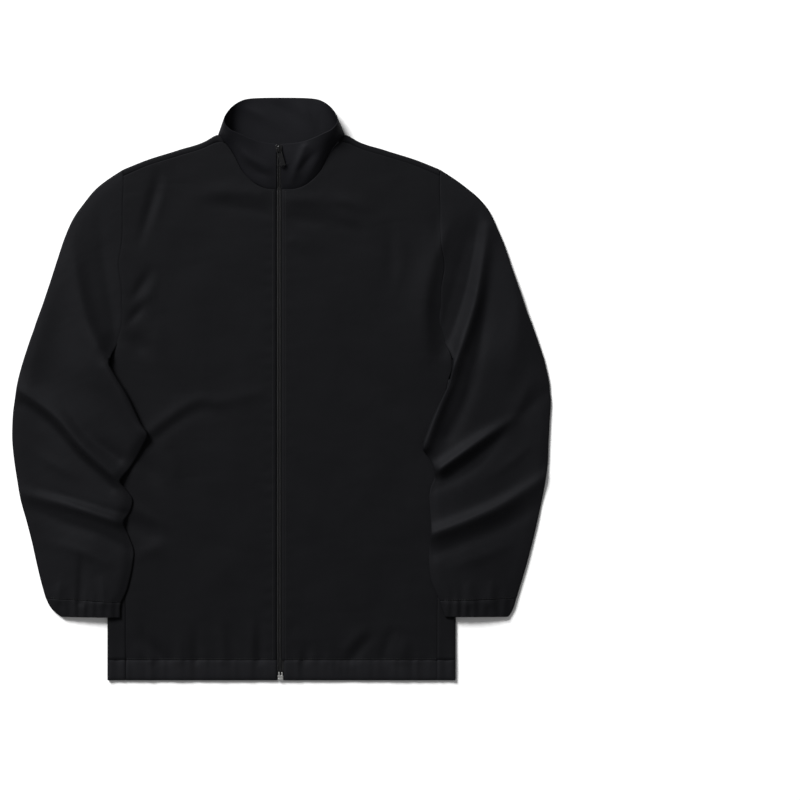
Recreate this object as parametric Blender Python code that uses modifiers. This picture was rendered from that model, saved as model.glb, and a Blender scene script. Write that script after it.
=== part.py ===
"""A windbreaker laid flat on a surface with its front up, one solid for each piece that is cut and sewn.

The frame: +X to the picture's right, +Y from the hem to the collar, +Z up from the surface, with the
origin under the middle of the garment. Each cloth piece is a wall of even thickness. Its outer face is
worked out from sections, and the height of a face over the surface comes from the layers that lie there
and from a table of folds. Tables are in millimetres, and everything that is built is in metres.
"""

import math
from collections import namedtuple

import bmesh
import bpy
from mathutils import Matrix, Vector

MM = 0.001

# Driving dimensions, in metres.
WALL = 1.2 * MM  # what each layer of cloth is given
SLEEVE_WALL = 1.4 * MM  # measured straight up, so that it stays a layer where a fold is steep
CASING_WALL = 1.5 * MM  # two layers of cloth and the elastic between them
SEAM_GAP = 0.4 * MM  # from piece to piece at a seam
LAYER_GAP = 0.6 * MM  # from the body's top to what lies on it
FLAT_THICK = 4.9 * MM  # a body or sleeve where its two layers lie together
LEAST_THICK = 3.9 * MM  # the same in the deepest trough
HALF_BODY = 223 * MM  # centre line to the fold at the body's side
HEM_END = -372.5 * MM
HEM_SEAM = -347 * MM
SIDE_TOP = 12 * MM  # where the body's side fold runs in under the armpit
SHOULDER_TURN = 8 * MM  # from the shoulder's fold forward to its seam
FOLD_REACH = 3 * MM  # how far a sleeve's edge takes to round over
SOFT_EDGE = 0.4 * MM  # over what height a trough runs out at its least thickness
GATHER_PITCH = 17 * MM  # from one gather of the hem's casing to the next
GATHER_RISE = 0.5 * MM
CUFF_GATHERS = 9  # across a cuff's upper side
CUFF_RISE = 0.7 * MM
HEM_CLEAR = 4.8 * MM  # from the retainer box's centre to the casing's end
ZIP_X = -3 * MM
ZIP_HALF = 3.4 * MM  # zip centre to the folded edge of a front
ZIP_LOW = -362 * MM
TAPE_HALF = 14 * MM
TAPE_WALL = 1.0 * MM
TAPE_GAP = 0.35 * MM  # between the tape and what covers it
COIL_HALF = 2.6 * MM  # zip centre to the outer side of the coil
COIL_RISE = 0.7 * MM  # what the coil adds over the tape
COIL_APART = 0.2 * MM  # zip centre to the coil's inner side
COIL_PARTED = 1.4 * MM  # the same beside the slider's post
SLIDER_Y = 306.3 * MM
SLIDER_LIFT = 0.35  # in millimetres, from the collar up to the slider's upper plate
BRIDGE_CLEAR = 2.8  # in millimetres, inside the bridge
PULL_YAW = math.radians(14)
PULL_TILT = math.radians(4)
BOX_X = -1.3  # in millimetres, as are the next two
BOX_TOP = -366.5
PIN_APART = 1.9  # the box's centre to the middle of each pin

CLOTH = (0.0095, 0.0095, 0.0105)
ZIP_BLACK = (0.006, 0.006, 0.006)
TAPE_BLACK = (0.022, 0.022, 0.023)
NICKEL = (0.62, 0.62, 0.60)

# A fold is a ridge (positive heights) or a trough along a path. It fades over width on the left of the
# path and over lee on its right, as seen walking from its first point.
Fold = namedtuple("Fold", "path heights width lee")

BODY_FOLDS = (
    Fold(((-34, 262), (0, 250), (34, 262)), (1.0, 1.6, 1.0), 26, 26),  # rise to the collar's front
    Fold(((-104, 250), (-66, 251), (-28, 249)), (0.4, 1.3, 0.7), 10, 9),
    Fold(((-95, 238), (-58, 233), (-21, 227)), (-0.3, -1.0, -0.8), 8, 8),
    Fold(((11, 242), (62, 241), (113, 232)), (0.9, 1.6, 0.4), 9, 9),
    Fold(((15, 218), (58, 212), (100, 204)), (-0.7, -1.3, -0.3), 9, 9),
    Fold(((13, 191), (24, 186), (36, 177)), (0.7, 0.7, 0.2), 8, 8),
    Fold(((139, 211), (140, 170), (139, 129)), (-0.2, -0.8, -0.2), 10, 10),
    Fold(((184, 236), (186, 205), (184, 175)), (-0.2, -0.8, -0.2), 10, 10),
    Fold(((-159, 268), (-171, 224), (-181, 186)), (-0.4, -1.2, -0.4), 10, 10),
    Fold(((-160, 150), (-180, 118), (-193, 88)), (-0.3, -1.0, -0.6), 9, 7),
    Fold(((-186, 68), (-181, 55), (-176, 44)), (-0.4, -1.2, -0.4), 11, 11),
    Fold(((-163, -52), (-125, -24), (-79, -18), (-16, -3)), (-0.9, -0.9, -0.6, 0.0), 9, 7),
    Fold(((-172, -96), (-164, -115), (-154, -130)), (-0.4, -1.1, -0.3), 10, 9),
    Fold(((-190, -170), (-168, -186), (-166, -206)), (-0.8, -1.3, -0.3), 12, 12),
    Fold(((-174, -320), (-161, -336), (-149, -347)), (0.0, -0.9, -1.0), 8, 8),
    Fold(((-109, -300), (-109, -325), (-109, -347)), (0.0, -0.7, -1.0), 8, 8),
    Fold(((-28, -290), (-28, -320), (-28, -347)), (0.0, -0.8, -1.2), 8, 8),
    Fold(((119, -314), (101, -333), (86, -347)), (0.0, -0.9, -1.2), 8, 8),
)

SLEEVE_FOLDS_LEFT = (
    Fold(((-268, 190), (-258, 122), (-245, 76), (-227, 40), (-201, -6), (-172, -58)),
         (1.0, 6.5, 9.5, 11.0, 11.0, 9.0), 30, 9),  # long fold from the shoulder to the elbow's tip
    Fold(((-232, 200), (-222, 130), (-214, 84)), (-0.6, -1.2, -1.0), 10, 10),
    Fold(((-338, 0), (-289, -35), (-253, -76), (-208, -116)), (3.0, 7.5, 8.5, 7.5), 17, 6),
    Fold(((-276, -22), (-248, -60), (-208, -90)), (-1.0, -2.5, -3.0), 12, 12),
    Fold(((-332, -134), (-264, -151), (-200, -172)), (1.5, 5.5, 6.5), 10, 7),
    Fold(((-318, -152), (-277, -169), (-236, -182), (-191, -204)), (-0.5, -1.2, -1.2, -0.8), 8, 8),
    Fold(((-255, -222), (-256, -248), (-257, -272)), (0.0, -1.2, -1.5), 7, 7),
    Fold(((-232, -238), (-228, -256), (-226, -272)), (0.0, 1.5, 1.5), 8, 8),
    Fold(((-282, -240), (-284, -256), (-285, -270)), (0.0, 1.5, 1.5), 8, 8),
)

SLEEVE_FOLDS_RIGHT = (
    Fold(((266, 205), (252, 129), (240, 84), (223, 36), (208, -3), (182, -74)),
         (2.0, 7.0, 10.0, 11.5, 11.5, 9.5), 15, 12),  # long fold from the shoulder to the elbow's tip
    Fold(((244, 236), (241, 180), (222, 158), (212, 120), (206, 84)), (-0.6, -1.4, -1.4, -1.2, -0.8), 9, 9),
    Fold(((250, 28), (232, -23), (212, -60)), (-0.8, -1.4, -1.4), 11, 11),
    Fold(((292, -38), (248, -70), (203, -102)), (3.0, 7.5, 8.0), 11, 9),
    Fold(((336, -6), (295, -42), (248, -94), (199, -119)), (-0.6, -1.4, -2.4, -2.0), 11, 11),
    Fold(((338, -112), (284, -147), (235, -169), (194, -184)), (2.5, 6.5, 7.5, 6.5), 13, 9),
    Fold(((328, -150), (284, -173), (199, -206)), (-0.6, -1.4, -1.0), 11, 11),
    Fold(((239, -244), (240, -258), (242, -274)), (0.0, 1.5, 1.5), 8, 8),
    Fold(((268, -244), (268, -258), (266, -274)), (0.0, 1.5, 1.5), 8, 8),
)

# The edge that a front and the back share with the side seam, and above the armpit with the sleeve.
EdgeRow = namedtuple("EdgeRow", "y front back")
BODY_EDGE = (
    EdgeRow(-347, 199, 223),
    EdgeRow(-325, 199, 223),
    EdgeRow(-298, 199, 223),
    EdgeRow(-262, 200, 223),
    EdgeRow(-222, 201, 223),
    EdgeRow(-182, 203, 223),
    EdgeRow(-142, 205, 223),
    EdgeRow(-102, 207, 223),
    EdgeRow(-62, 209, 223),
    EdgeRow(-24, 211, 223),
    EdgeRow(12, 213, 223),
    EdgeRow(37, 218, 217),
    EdgeRow(58, 211, 211),
    EdgeRow(83, 204, 202),
    EdgeRow(105, 204, 193),
    EdgeRow(128, 204, 187),
    EdgeRow(158, 208, 184),
    EdgeRow(186, 204, 182),
    EdgeRow(212, 203, 185),
    EdgeRow(237, 203, 190),
    EdgeRow(257, 202, 196),
    EdgeRow(272, 202, 202),
)

# Where the panels end at the neck and the shoulder: y for a distance from the centre line.
TopRow = namedtuple("TopRow", "x front back")
BODY_TOP = (
    TopRow(0, 255, 312),
    TopRow(20, 255, 312),
    TopRow(38, 260, 312),
    TopRow(51, 280, 312),
    TopRow(63, 303, 312),
    TopRow(75, 316, 314),
    TopRow(84, 315, 322),
    TopRow(93, 311, 319),
    TopRow(132, 298, 306),
    TopRow(173, 285, 293),
    TopRow(203, 272, 281),
    TopRow(230, 262, 270),
)

# A sleeve's sections, from the shoulder to the cuff: its outer fold and its inner fold, as laid. Down to
# the armpit there is no inner fold, and a section with None for inner_x ends at the armhole at inner_y.
SleeveRow = namedtuple("SleeveRow", "outer_x outer_y inner_x inner_y")
SLEEVE_LEFT = (
    SleeveRow(-203, 281, None, 257),
    SleeveRow(-223, 268, None, 237),
    SleeveRow(-239, 255, None, 212),
    SleeveRow(-253, 238, None, 186),
    SleeveRow(-267, 218, None, 158),
    SleeveRow(-278, 193, None, 128),
    SleeveRow(-287, 166, None, 105),
    SleeveRow(-296, 138, None, 83),
    SleeveRow(-301, 123, None, 58),
    SleeveRow(-306, 108, -222, 37),
    SleeveRow(-310, 97, -218.5, 30),
    SleeveRow(-314, 86, -215, 23),
    SleeveRow(-318, 74, -209, 13),
    SleeveRow(-322, 63, -202, 2),
    SleeveRow(-326, 51, -194, -12),
    SleeveRow(-330, 39, -187, -27),
    SleeveRow(-333, 29, -179, -44),
    SleeveRow(-336, 18, -170, -59),
    SleeveRow(-338, 9, -177, -74),
    SleeveRow(-340, -2, -185, -88),
    SleeveRow(-342, -15, -195, -103),
    SleeveRow(-344, -30, -205, -118),
    SleeveRow(-345, -48, -198, -129),
    SleeveRow(-345, -66, -190.5, -141),
    SleeveRow(-343, -88, -193, -155),
    SleeveRow(-339, -115, -201, -171),
    SleeveRow(-334, -143, -195, -189),
    SleeveRow(-327, -168, -189, -206),
    SleeveRow(-320, -195, -190, -222),
    SleeveRow(-314, -222, -193, -239),
    SleeveRow(-308, -247, -198, -258),
    SleeveRow(-302, -268, -205, -273),
)
SLEEVE_RIGHT = (
    SleeveRow(203, 281, None, 257),
    SleeveRow(223, 268, None, 237),
    SleeveRow(239, 256, None, 212),
    SleeveRow(253, 244, None, 186),
    SleeveRow(266, 228, None, 158),
    SleeveRow(276, 207, None, 128),
    SleeveRow(286, 183, None, 105),
    SleeveRow(295, 156, None, 83),
    SleeveRow(301, 139, None, 58),
    SleeveRow(307, 122, 222, 37),
    SleeveRow(311, 110, 220, 29),
    SleeveRow(315, 98, 218, 20),
    SleeveRow(319, 88, 213.5, 6),
    SleeveRow(323, 77, 207, -8),
    SleeveRow(328, 63, 200, -22),
    SleeveRow(332, 51, 193, -37),
    SleeveRow(336, 39, 187, -52),
    SleeveRow(339, 27, 180, -75),
    SleeveRow(341, 18, 186, -84),
    SleeveRow(343, 8, 192, -94),
    SleeveRow(344, -4, 195, -105),
    SleeveRow(345, -18, 195, -116),
    SleeveRow(344, -34, 191, -126),
    SleeveRow(343, -52, 189, -138),
    SleeveRow(342, -72, 190, -153),
    SleeveRow(341, -96, 191, -171),
    SleeveRow(337, -125, 190, -189),
    SleeveRow(330, -159, 189, -209),
    SleeveRow(323, -190, 189, -230),
    SleeveRow(315, -221, 192, -246),
    SleeveRow(308, -245, 197, -259),
    SleeveRow(301, -268, 203, -271),
)
CUFF_LEFT = (
    SleeveRow(-301, -270, -205, -275),
    SleeveRow(-297, -278, -206, -280),
    SleeveRow(-291, -285, -206, -286),
    SleeveRow(-283, -291, -206, -292),
)
CUFF_RIGHT = (
    SleeveRow(300, -270, 203, -273),
    SleeveRow(298, -278, 205, -280),
    SleeveRow(295, -285, 207, -286),
    SleeveRow(291, -291, 209, -291),
)

# The collar's stations from the zip round the left side to the back's centre: its neck seam and its top
# edge, with each edge's height over the surface at its outer face. A seam height of None is on the front.
CollarRow = namedtuple("CollarRow", "seam_x seam_y seam_z top_x top_y top_z")
COLLAR = (
    CollarRow(-3.4, 255.5, None, -3.4, 312.0, 15.0),
    CollarRow(-19.8, 255.5, None, -13, 313.0, 15.3),
    CollarRow(-37.6, 260.5, None, -27, 315.0, 16.0),
    CollarRow(-50.5, 280.4, None, -40, 319.0, 18.0),
    CollarRow(-62.4, 303.4, None, -54, 325.0, 20.5),
    CollarRow(-73.5, 317.0, None, -66, 331.0, 22.5),
    CollarRow(-81, 325.5, 3.2, -73, 342.0, 22.0),
    CollarRow(-78, 323.4, 0.0, -66, 357.0, 14.0),
    CollarRow(-66, 315.4, 0.0, -54, 367.0, 7.0),
    CollarRow(-40, 312.6, 0.0, -38, 371.5, 3.0),
    CollarRow(0, 312.5, 0.0, 0, 372.5, 2.0),
)


def smoothstep(low, high, value):
    """0 below low and 1 above high, with a soft passage between them. The two may run downwards."""
    t = min(1.0, max(0.0, (value - low) / (high - low)))
    return t * t * (3 - 2 * t)


def soft_floor(value, floor, blend):
    """The larger of value and floor, rounded over a height of about blend where they cross."""
    return floor + blend * math.log1p(math.exp((value - floor) / blend))


def table_value(rows, key, column, at):
    """Reads a table of rows that rise along key, straight from row to row. Millimetres in and out."""
    for low, high in zip(rows, rows[1:]):
        if at <= getattr(high, key):
            break
    share = (at - getattr(low, key)) / (getattr(high, key) - getattr(low, key))
    return getattr(low, column) + share * (getattr(high, column) - getattr(low, column))


def fold_height(x, y, folds):
    """What a table of folds adds to the height at a place, in metres."""
    total = 0.0
    place = Vector((x / MM, y / MM))
    for fold in folds:
        nearest, height, side = None, 0.0, 1.0
        legs = zip(fold.path, fold.path[1:], fold.heights, fold.heights[1:])
        for start, end, height_start, height_end in legs:
            start, end = Vector(start), Vector(end)
            leg = end - start
            share = min(1.0, max(0.0, (place - start).dot(leg) / leg.length_squared))
            away = place - start - share * leg
            if nearest is None or away.length < nearest:
                nearest = away.length
                height = height_start + share * (height_end - height_start)
                side = leg.x * away.y - leg.y * away.x
        reach = fold.width if side > 0 else fold.lee
        total += height * math.exp(-((nearest / reach) ** 2))
    return total * MM


def body_top(x, y):
    """Height of the body's upper face where nothing lies on it."""
    thick = FLAT_THICK + fold_height(x, y, BODY_FOLDS)
    return soft_floor(thick, LEAST_THICK, SOFT_EDGE)


def body_cover(x, y):
    """1 where a sleeve lies on the body and 0 where it lies on the surface, with a ramp beside the body."""
    beside = smoothstep(HALF_BODY + 38 * MM, HALF_BODY + 7 * MM, abs(x))
    below = smoothstep(38 * MM, 20 * MM, y)
    return beside * below


def sleeve_faces(x, y, folds):
    """Heights of a sleeve's lower and upper face. The lower layer stays down, and the folds are the upper
    layer's."""
    rest = body_cover(x, y) * (body_top(x, y) + LAYER_GAP)
    by_armhole = smoothstep(30 * MM, 70 * MM, y)
    body_share = by_armhole * fold_height(x, y, BODY_FOLDS)
    thick = FLAT_THICK + body_share + fold_height(x, y, folds)
    thick = soft_floor(thick, LEAST_THICK, SOFT_EDGE)
    return rest, rest + thick


def cloth_material(name, colour, roughness=0.62, metallic=0.0):
    """One plain material for one piece."""
    material = bpy.data.materials.new(name)
    material.use_nodes = True
    shader = material.node_tree.nodes["Principled BSDF"]
    shader.inputs["Base Color"].default_value = (*colour, 1.0)
    shader.inputs["Roughness"].default_value = roughness
    shader.inputs["Metallic"].default_value = metallic
    material.diffuse_color = (*colour, 1.0)
    return material


def add_piece(name, mesh, colour, roughness=0.62, metallic=0.0):
    """Links one finished mesh to the garment's collection under its own name and material."""
    piece = bpy.data.objects.new(name, mesh)
    garment.objects.link(piece)
    mesh.materials.append(cloth_material(name, colour, roughness, metallic))
    return piece


def add_wall(name, rows, colour=CLOTH, wall=WALL, closed=False, flip=False):
    """A wall through rows of points on its outer face. None is a place that the piece doesn't reach, and
    closed joins each row's end to its start."""
    mesh = bpy.data.meshes.new(name)
    surface = bmesh.new()
    grid = [[None if p is None else surface.verts.new(p) for p in row] for row in rows]
    for lower, upper in zip(grid, grid[1:]):
        steps = range(len(lower) if closed else len(lower) - 1)
        for i in steps:
            j = (i + 1) % len(lower)
            corners = [lower[i], lower[j], upper[j], upper[i]]
            if None in corners:
                continue
            surface.faces.new(corners[::-1] if flip else corners)
    for face in surface.faces:
        face.smooth = True
    surface.to_mesh(mesh)
    surface.free()
    piece = add_piece(name, mesh, colour)
    thicken = piece.modifiers.new("wall", "SOLIDIFY")
    thicken.thickness = wall
    thicken.offset = -1
    thicken.use_even_offset = True
    return piece


FRONT_COLUMNS = (20, 38, 44.5, 51, 57, 63, 75, 93, 112, 132, 152, 173, 188, 202)  # as they lie at the neck


def panel_rows(side):
    """Rows of places on a front, from the zip's edge to its side, as (x, y)."""
    rows = []
    inner = ZIP_X + side * ZIP_HALF
    bottom = HEM_SEAM + SEAM_GAP / 2
    last = side * FRONT_COLUMNS[-1] * MM
    shares = [0.0] + [(side * x * MM - inner) / (last - inner) for x in FRONT_COLUMNS]
    for edge in BODY_EDGE:
        edge_top = table_value(BODY_TOP, "x", "front", edge.front) * MM
        rise = max(0.0, (edge.y * MM - HEM_SEAM) / (edge_top - HEM_SEAM))
        rise = 1.0 if edge is BODY_EDGE[-1] else rise
        row = []
        for share in shares:
            x = inner + (side * edge.front * MM - inner) * share
            top = table_value(BODY_TOP, "x", "front", abs(x) / MM) * MM
            row.append((x, bottom + rise * (top - bottom)))
        rows.append(row)
    return rows


def build_front(name, side):
    rows = [[(x, y, body_top(x, y)) for x, y in row] for row in panel_rows(side)]
    add_wall(name, rows, flip=side < 0)


def rolled(reach, thick, angles):
    """A turned edge from the lower face to the upper one, as (distance inwards, height)."""
    return [(reach * (1 - math.cos(a)), thick / 2 * (1 + math.sin(a))) for a in angles]


ROLL_ANGLES = [math.radians(a) for a in (-90, -45, 0, 45, 90)]


def side_turn(y, seam_x):
    """The body's side below the armpit, from the lower face round the fold to the side seam, as (x, z)."""
    thick = body_top(HALF_BODY, y)
    points = [(HALF_BODY - inwards, z) for inwards, z in rolled(thick / 2, thick, ROLL_ANGLES)]
    return points + [((seam_x + SEAM_GAP + points[-1][0]) / 2, None), (seam_x + SEAM_GAP, None)]


BACK_COLUMNS = (0, 0.14, 0.28, 0.42, 0.53, 0.65, 0.77, 0.89, 1)


def build_back():
    """The back lies flat on the surface, comes up round both sides to the side seams, and comes forward
    over the shoulders to their seams."""
    shares = [-s for s in reversed(BACK_COLUMNS[1:])] + list(BACK_COLUMNS)
    turn_size = len(ROLL_ANGLES) + 1
    roll = FLAT_THICK / 2
    bottom = HEM_SEAM + SEAM_GAP / 2
    rows = []
    for edge in BODY_EDGE:
        edge_x = edge.back * MM
        has_turn = edge.y * MM <= SIDE_TOP
        if has_turn:
            turn = side_turn(edge.y * MM, edge.front * MM)
            edge_x = turn[0][0]
        edge_top = table_value(BODY_TOP, "x", "back", edge.back) * MM - roll
        share = max(0.0, (edge.y * MM - HEM_SEAM) / (edge_top - HEM_SEAM))
        share = 1.0 if edge is BODY_EDGE[-1] else share
        flat = []
        for s in shares:
            x = s * edge_x
            top = table_value(BODY_TOP, "x", "back", abs(x) / MM) * MM
            top -= roll if abs(s) >= BACK_COLUMNS[3] else 0.0
            flat.append(Vector((x, bottom + share * (top - bottom), 0.0)))
        left, right = [None] * turn_size, [None] * turn_size
        if has_turn:
            y = flat[-1].y
            right = [Vector((x, y, body_top(x, y) if z is None else z)) for x, z in turn[1:]]
            left = [Vector((-x, y, body_top(x, y) if z is None else z)) for x, z in turn[1:]]
        rows.append(left[::-1] + flat + right)
    crest = rows[-1][turn_size:-turn_size]
    for angle in ROLL_ANGLES[1:]:
        rows.append(shoulder_row(crest, shares, turn_size, roll * (1 + math.cos(angle)) - roll, angle))
    rows.append(shoulder_row(crest, shares, turn_size, roll - SHOULDER_TURN + 2 * SEAM_GAP, None))
    add_wall("back", rows, flip=True)


def shoulder_row(crest, shares, turn_size, forward, angle):
    """One more row of the back over the shoulder's fold: forward is its distance past the last flat row."""
    row = []
    for point, share in zip(crest, shares):
        if abs(share) < BACK_COLUMNS[3]:
            row.append(None)
            continue
        x, y = point.x, point.y + forward
        thick = body_top(x, y)
        row.append(Vector((x, y, thick if angle is None else thick / 2 * (1 + math.sin(angle)))))
    return [None] * turn_size + row + [None] * turn_size


def section_end(row, layer):
    """The inner end of a sleeve's section in one layer: on the armhole, or at the inner fold."""
    if row.inner_x is not None:
        return Vector((row.inner_x * MM, row.inner_y * MM))
    side = 1 if row.outer_x > 0 else -1
    edge = table_value(BODY_EDGE, "y", layer, row.inner_y) * MM
    return Vector((side * (edge + SEAM_GAP), row.inner_y * MM))


def sleeve_ring(row, folds, inset, upper_count, lower_count, ripple=None):
    """One section of a sleeve or cuff: from the inner end over the top to the outer fold, back underneath,
    and round the inner fold where there is one. inset is 0 for the outer face and the wall for the inner."""
    outer = Vector((row.outer_x * MM, row.outer_y * MM))
    upper_end, lower_end = section_end(row, "front"), section_end(row, "back")
    has_fold = row.inner_x is not None

    def face_point(end, share, angle):
        """A place on the section, at an angle of 90 degrees on the upper face and -90 on the lower."""
        x, y = end.lerp(outer, share)
        low, high = sleeve_faces(x, y, folds)
        wave = ripple(share) * max(0.0, math.sin(angle)) if ripple else 0.0
        middle, half = (low + high) / 2, (high - low) / 2 - inset
        return Vector((x, y, middle + half * math.sin(angle) + wave))

    def layer_points(end, count, angle):
        turn = FOLD_REACH / (outer - end).length
        start = turn if has_fold else 0.0
        shares = [start + (1 - turn - start) * step / count for step in range(count + 1)]
        return [face_point(end, share, angle) for share in shares]

    def fold_points(at_outer):
        points = []
        for angle in ROLL_ANGLES[3:0:-1]:
            end = upper_end if angle > 0 else lower_end
            width = (outer - end).length
            away = (FOLD_REACH - (FOLD_REACH - inset) * math.cos(angle)) / width
            points.append(face_point(end, 1 - away if at_outer else away, angle))
        return points

    ring = layer_points(upper_end, upper_count, math.pi / 2) + fold_points(True)
    ring += layer_points(lower_end, lower_count, -math.pi / 2)[::-1]
    return ring + (fold_points(False)[::-1] if has_fold else [None] * (len(ROLL_ANGLES) - 2))


def add_tube(name, sections, folds, wall, upper_count, lower_count, ripple=None):
    """A flattened tube of cloth through its sections, with its outer and its inner face and the ends
    between them."""
    counts = (upper_count, lower_count, ripple)
    outer = [sleeve_ring(row, folds, 0.0, *counts) for row in sections]
    inner = [sleeve_ring(row, folds, wall, *counts) for row in sections]
    surface = bmesh.new()
    add_faces(surface, outer, inner, flip=sections[0].outer_x > 0)
    mesh = bpy.data.meshes.new(name)
    for face in surface.faces:
        face.smooth = True
    surface.to_mesh(mesh)
    surface.free()
    return add_piece(name, mesh, CLOTH)


def add_faces(surface, outer, inner, flip):
    """Both faces of a closed wall, and the narrow faces that join their edges."""
    faces = []
    grid, under = ([[None if p is None else surface.verts.new(p) for p in ring] for ring in rings]
                   for rings in (outer, inner))
    partner = {a: b for ring, below in zip(grid, under) for a, b in zip(ring, below)}
    for first, second in zip(grid, grid[1:]):
        for i in range(len(first)):
            corners = [first[i - 1], first[i], second[i], second[i - 1]]
            if None in corners:
                continue
            if (corners[0].co - corners[2].co).length > (corners[1].co - corners[3].co).length:
                corners = corners[1:] + corners[:1]
            halves = (corners[:3], [corners[2], corners[3], corners[0]])
            faces += [half[::-1] if flip else half for half in halves]
    for corners in faces:
        surface.faces.new(corners)
        surface.faces.new([partner[c] for c in reversed(corners)])
    steps = {(c[i - 1], c[i]) for c in faces for i in range(3)}
    for a, b in steps:
        if (b, a) not in steps:
            surface.faces.new([b, a, partner[a], partner[b]])


def build_sleeve(name, sections, folds):
    add_tube(name, sections, folds, SLEEVE_WALL, upper_count=14, lower_count=9)


def build_cuff(name, sections, folds):
    def ripple(share):
        return CUFF_RISE * math.cos(2 * math.pi * CUFF_GATHERS * share)

    add_tube(name, sections, folds, CASING_WALL, CUFF_GATHERS * 3, 9, ripple)


def hem_ripple(x, y):
    """The elastic draws the casing into short even gathers."""
    depth = smoothstep(HEM_SEAM + 2 * MM, HEM_SEAM - 6 * MM, y)
    depth *= smoothstep(16 * MM, 26 * MM, abs(x - ZIP_X))
    return GATHER_RISE * math.cos(2 * math.pi * x / GATHER_PITCH) * depth


HEM_ROWS = (HEM_SEAM - SEAM_GAP / 2, HEM_SEAM - 8 * MM, HEM_SEAM - 17 * MM, HEM_END)


def build_hem_front(name, side):
    columns = 34
    inner, outer = BOX_X * MM + side * HEM_CLEAR, side * BODY_EDGE[0].front * MM
    rows = []
    for y in HEM_ROWS:
        row = []
        for column in range(columns + 1):
            x = inner + (outer - inner) * column / columns
            row.append((x, y, body_top(x, HEM_SEAM) + hem_ripple(x, y)))
        rows.append(row)
    add_wall(name, rows, wall=CASING_WALL, flip=side > 0)


def build_hem_back():
    columns = 12
    rows = []
    for y in HEM_ROWS:
        turn = side_turn(HEM_SEAM, BODY_EDGE[0].front * MM)
        edge = turn[0][0]
        row = [Vector((-edge + 2 * edge * column / columns, y, 0.0)) for column in range(columns + 1)]
        right = []
        for x, z in turn[1:]:
            high = body_top(x, HEM_SEAM) + hem_ripple(x, y) if z is None else z
            right.append(Vector((x, y, high)))
        left = [Vector((-p.x, p.y, p.z)) for p in right]
        rows.append(left[::-1] + row + right)
    add_wall("hem_back", rows, wall=CASING_WALL)


def collar_stations():
    """The collar's stations all round, from the zip's left edge to its right edge, as pairs of points."""
    stations = []
    for row in COLLAR:
        seam_y = row.seam_y * MM
        seam_z = body_top(row.seam_x * MM, seam_y) if row.seam_z is None else row.seam_z * MM
        seam = Vector((row.seam_x * MM, seam_y, seam_z))
        top = Vector((row.top_x * MM, row.top_y * MM, row.top_z * MM))
        stations.append((seam, top))
    mirrored = [(Vector((-s.x, s.y, s.z)), Vector((-t.x, t.y, t.z))) for s, t in stations[-2::-1]]
    stations += mirrored
    shift = Vector((ZIP_X, 0, 0))
    for end in (0, -1):
        stations[end] = tuple(p + shift for p in stations[end])
    return stations


def spline(points, steps):
    """A smooth curve through points, with steps spans from each to the next."""
    curve = []
    for i in range(len(points) - 1):
        before = points[max(i - 1, 0)]
        start, end = points[i], points[i + 1]
        after = points[min(i + 2, len(points) - 1)]
        for step in range(steps):
            t = step / steps
            curve.append(
                0.5 * (2 * start + (end - before) * t
                       + (2 * before - 5 * start + 4 * end - after) * t ** 2
                       + (3 * start - before - 3 * end + after) * t ** 3)
            )
    curve.append(points[-1].copy())
    return curve


def collar_height(low, high, share):
    """Height of the collar's outer face on one of its stations, share of the way from its seam to its top.
    The front bulges a little between its seam and its edge."""
    on_front = smoothstep(4 * MM, 12 * MM, high.z) * smoothstep(345 * MM, 330 * MM, high.y)
    return max(0.0, low.z + share * (high.z - low.z) + 2.5 * MM * on_front * math.sin(math.pi * share))


def build_collar():
    stations = collar_stations()
    lows, highs = [s for s, _ in stations], [t for _, t in stations]
    seam = [p for a, b in zip(lows, lows[1:]) for p in (a, a.lerp(b, 0.5))] + [lows[-1]]
    top = spline(highs, 2)
    count = 6
    rows = []
    for step in range(count + 1):
        share = step / count
        row = []
        for low, high in zip(seam, top):
            point = low.lerp(high, share)
            point.z = collar_height(low, high, share)
            row.append(point)
        rows.append(row)
    collar = add_wall("collar", rows, flip=True)
    collar.modifiers["wall"].use_even_offset = False


COLLAR_ROWS = 6  # stretches of a tape along the collar's front edge


def tape_top(x, y):
    """Height of a tape's upper face: just under the wall that covers it."""
    if y > COLLAR[0].seam_y * MM:
        low, high = collar_stations()[0]
        share = (y - low.y) / (high.y - low.y)
        return collar_height(low, high, share) - WALL - TAPE_GAP - 0.1 * MM
    wall = WALL + (CASING_WALL - WALL) * smoothstep(HEM_SEAM + 12 * MM, HEM_SEAM + 4 * MM, y)
    return body_top(x, max(y, HEM_SEAM)) - wall - TAPE_GAP


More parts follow.
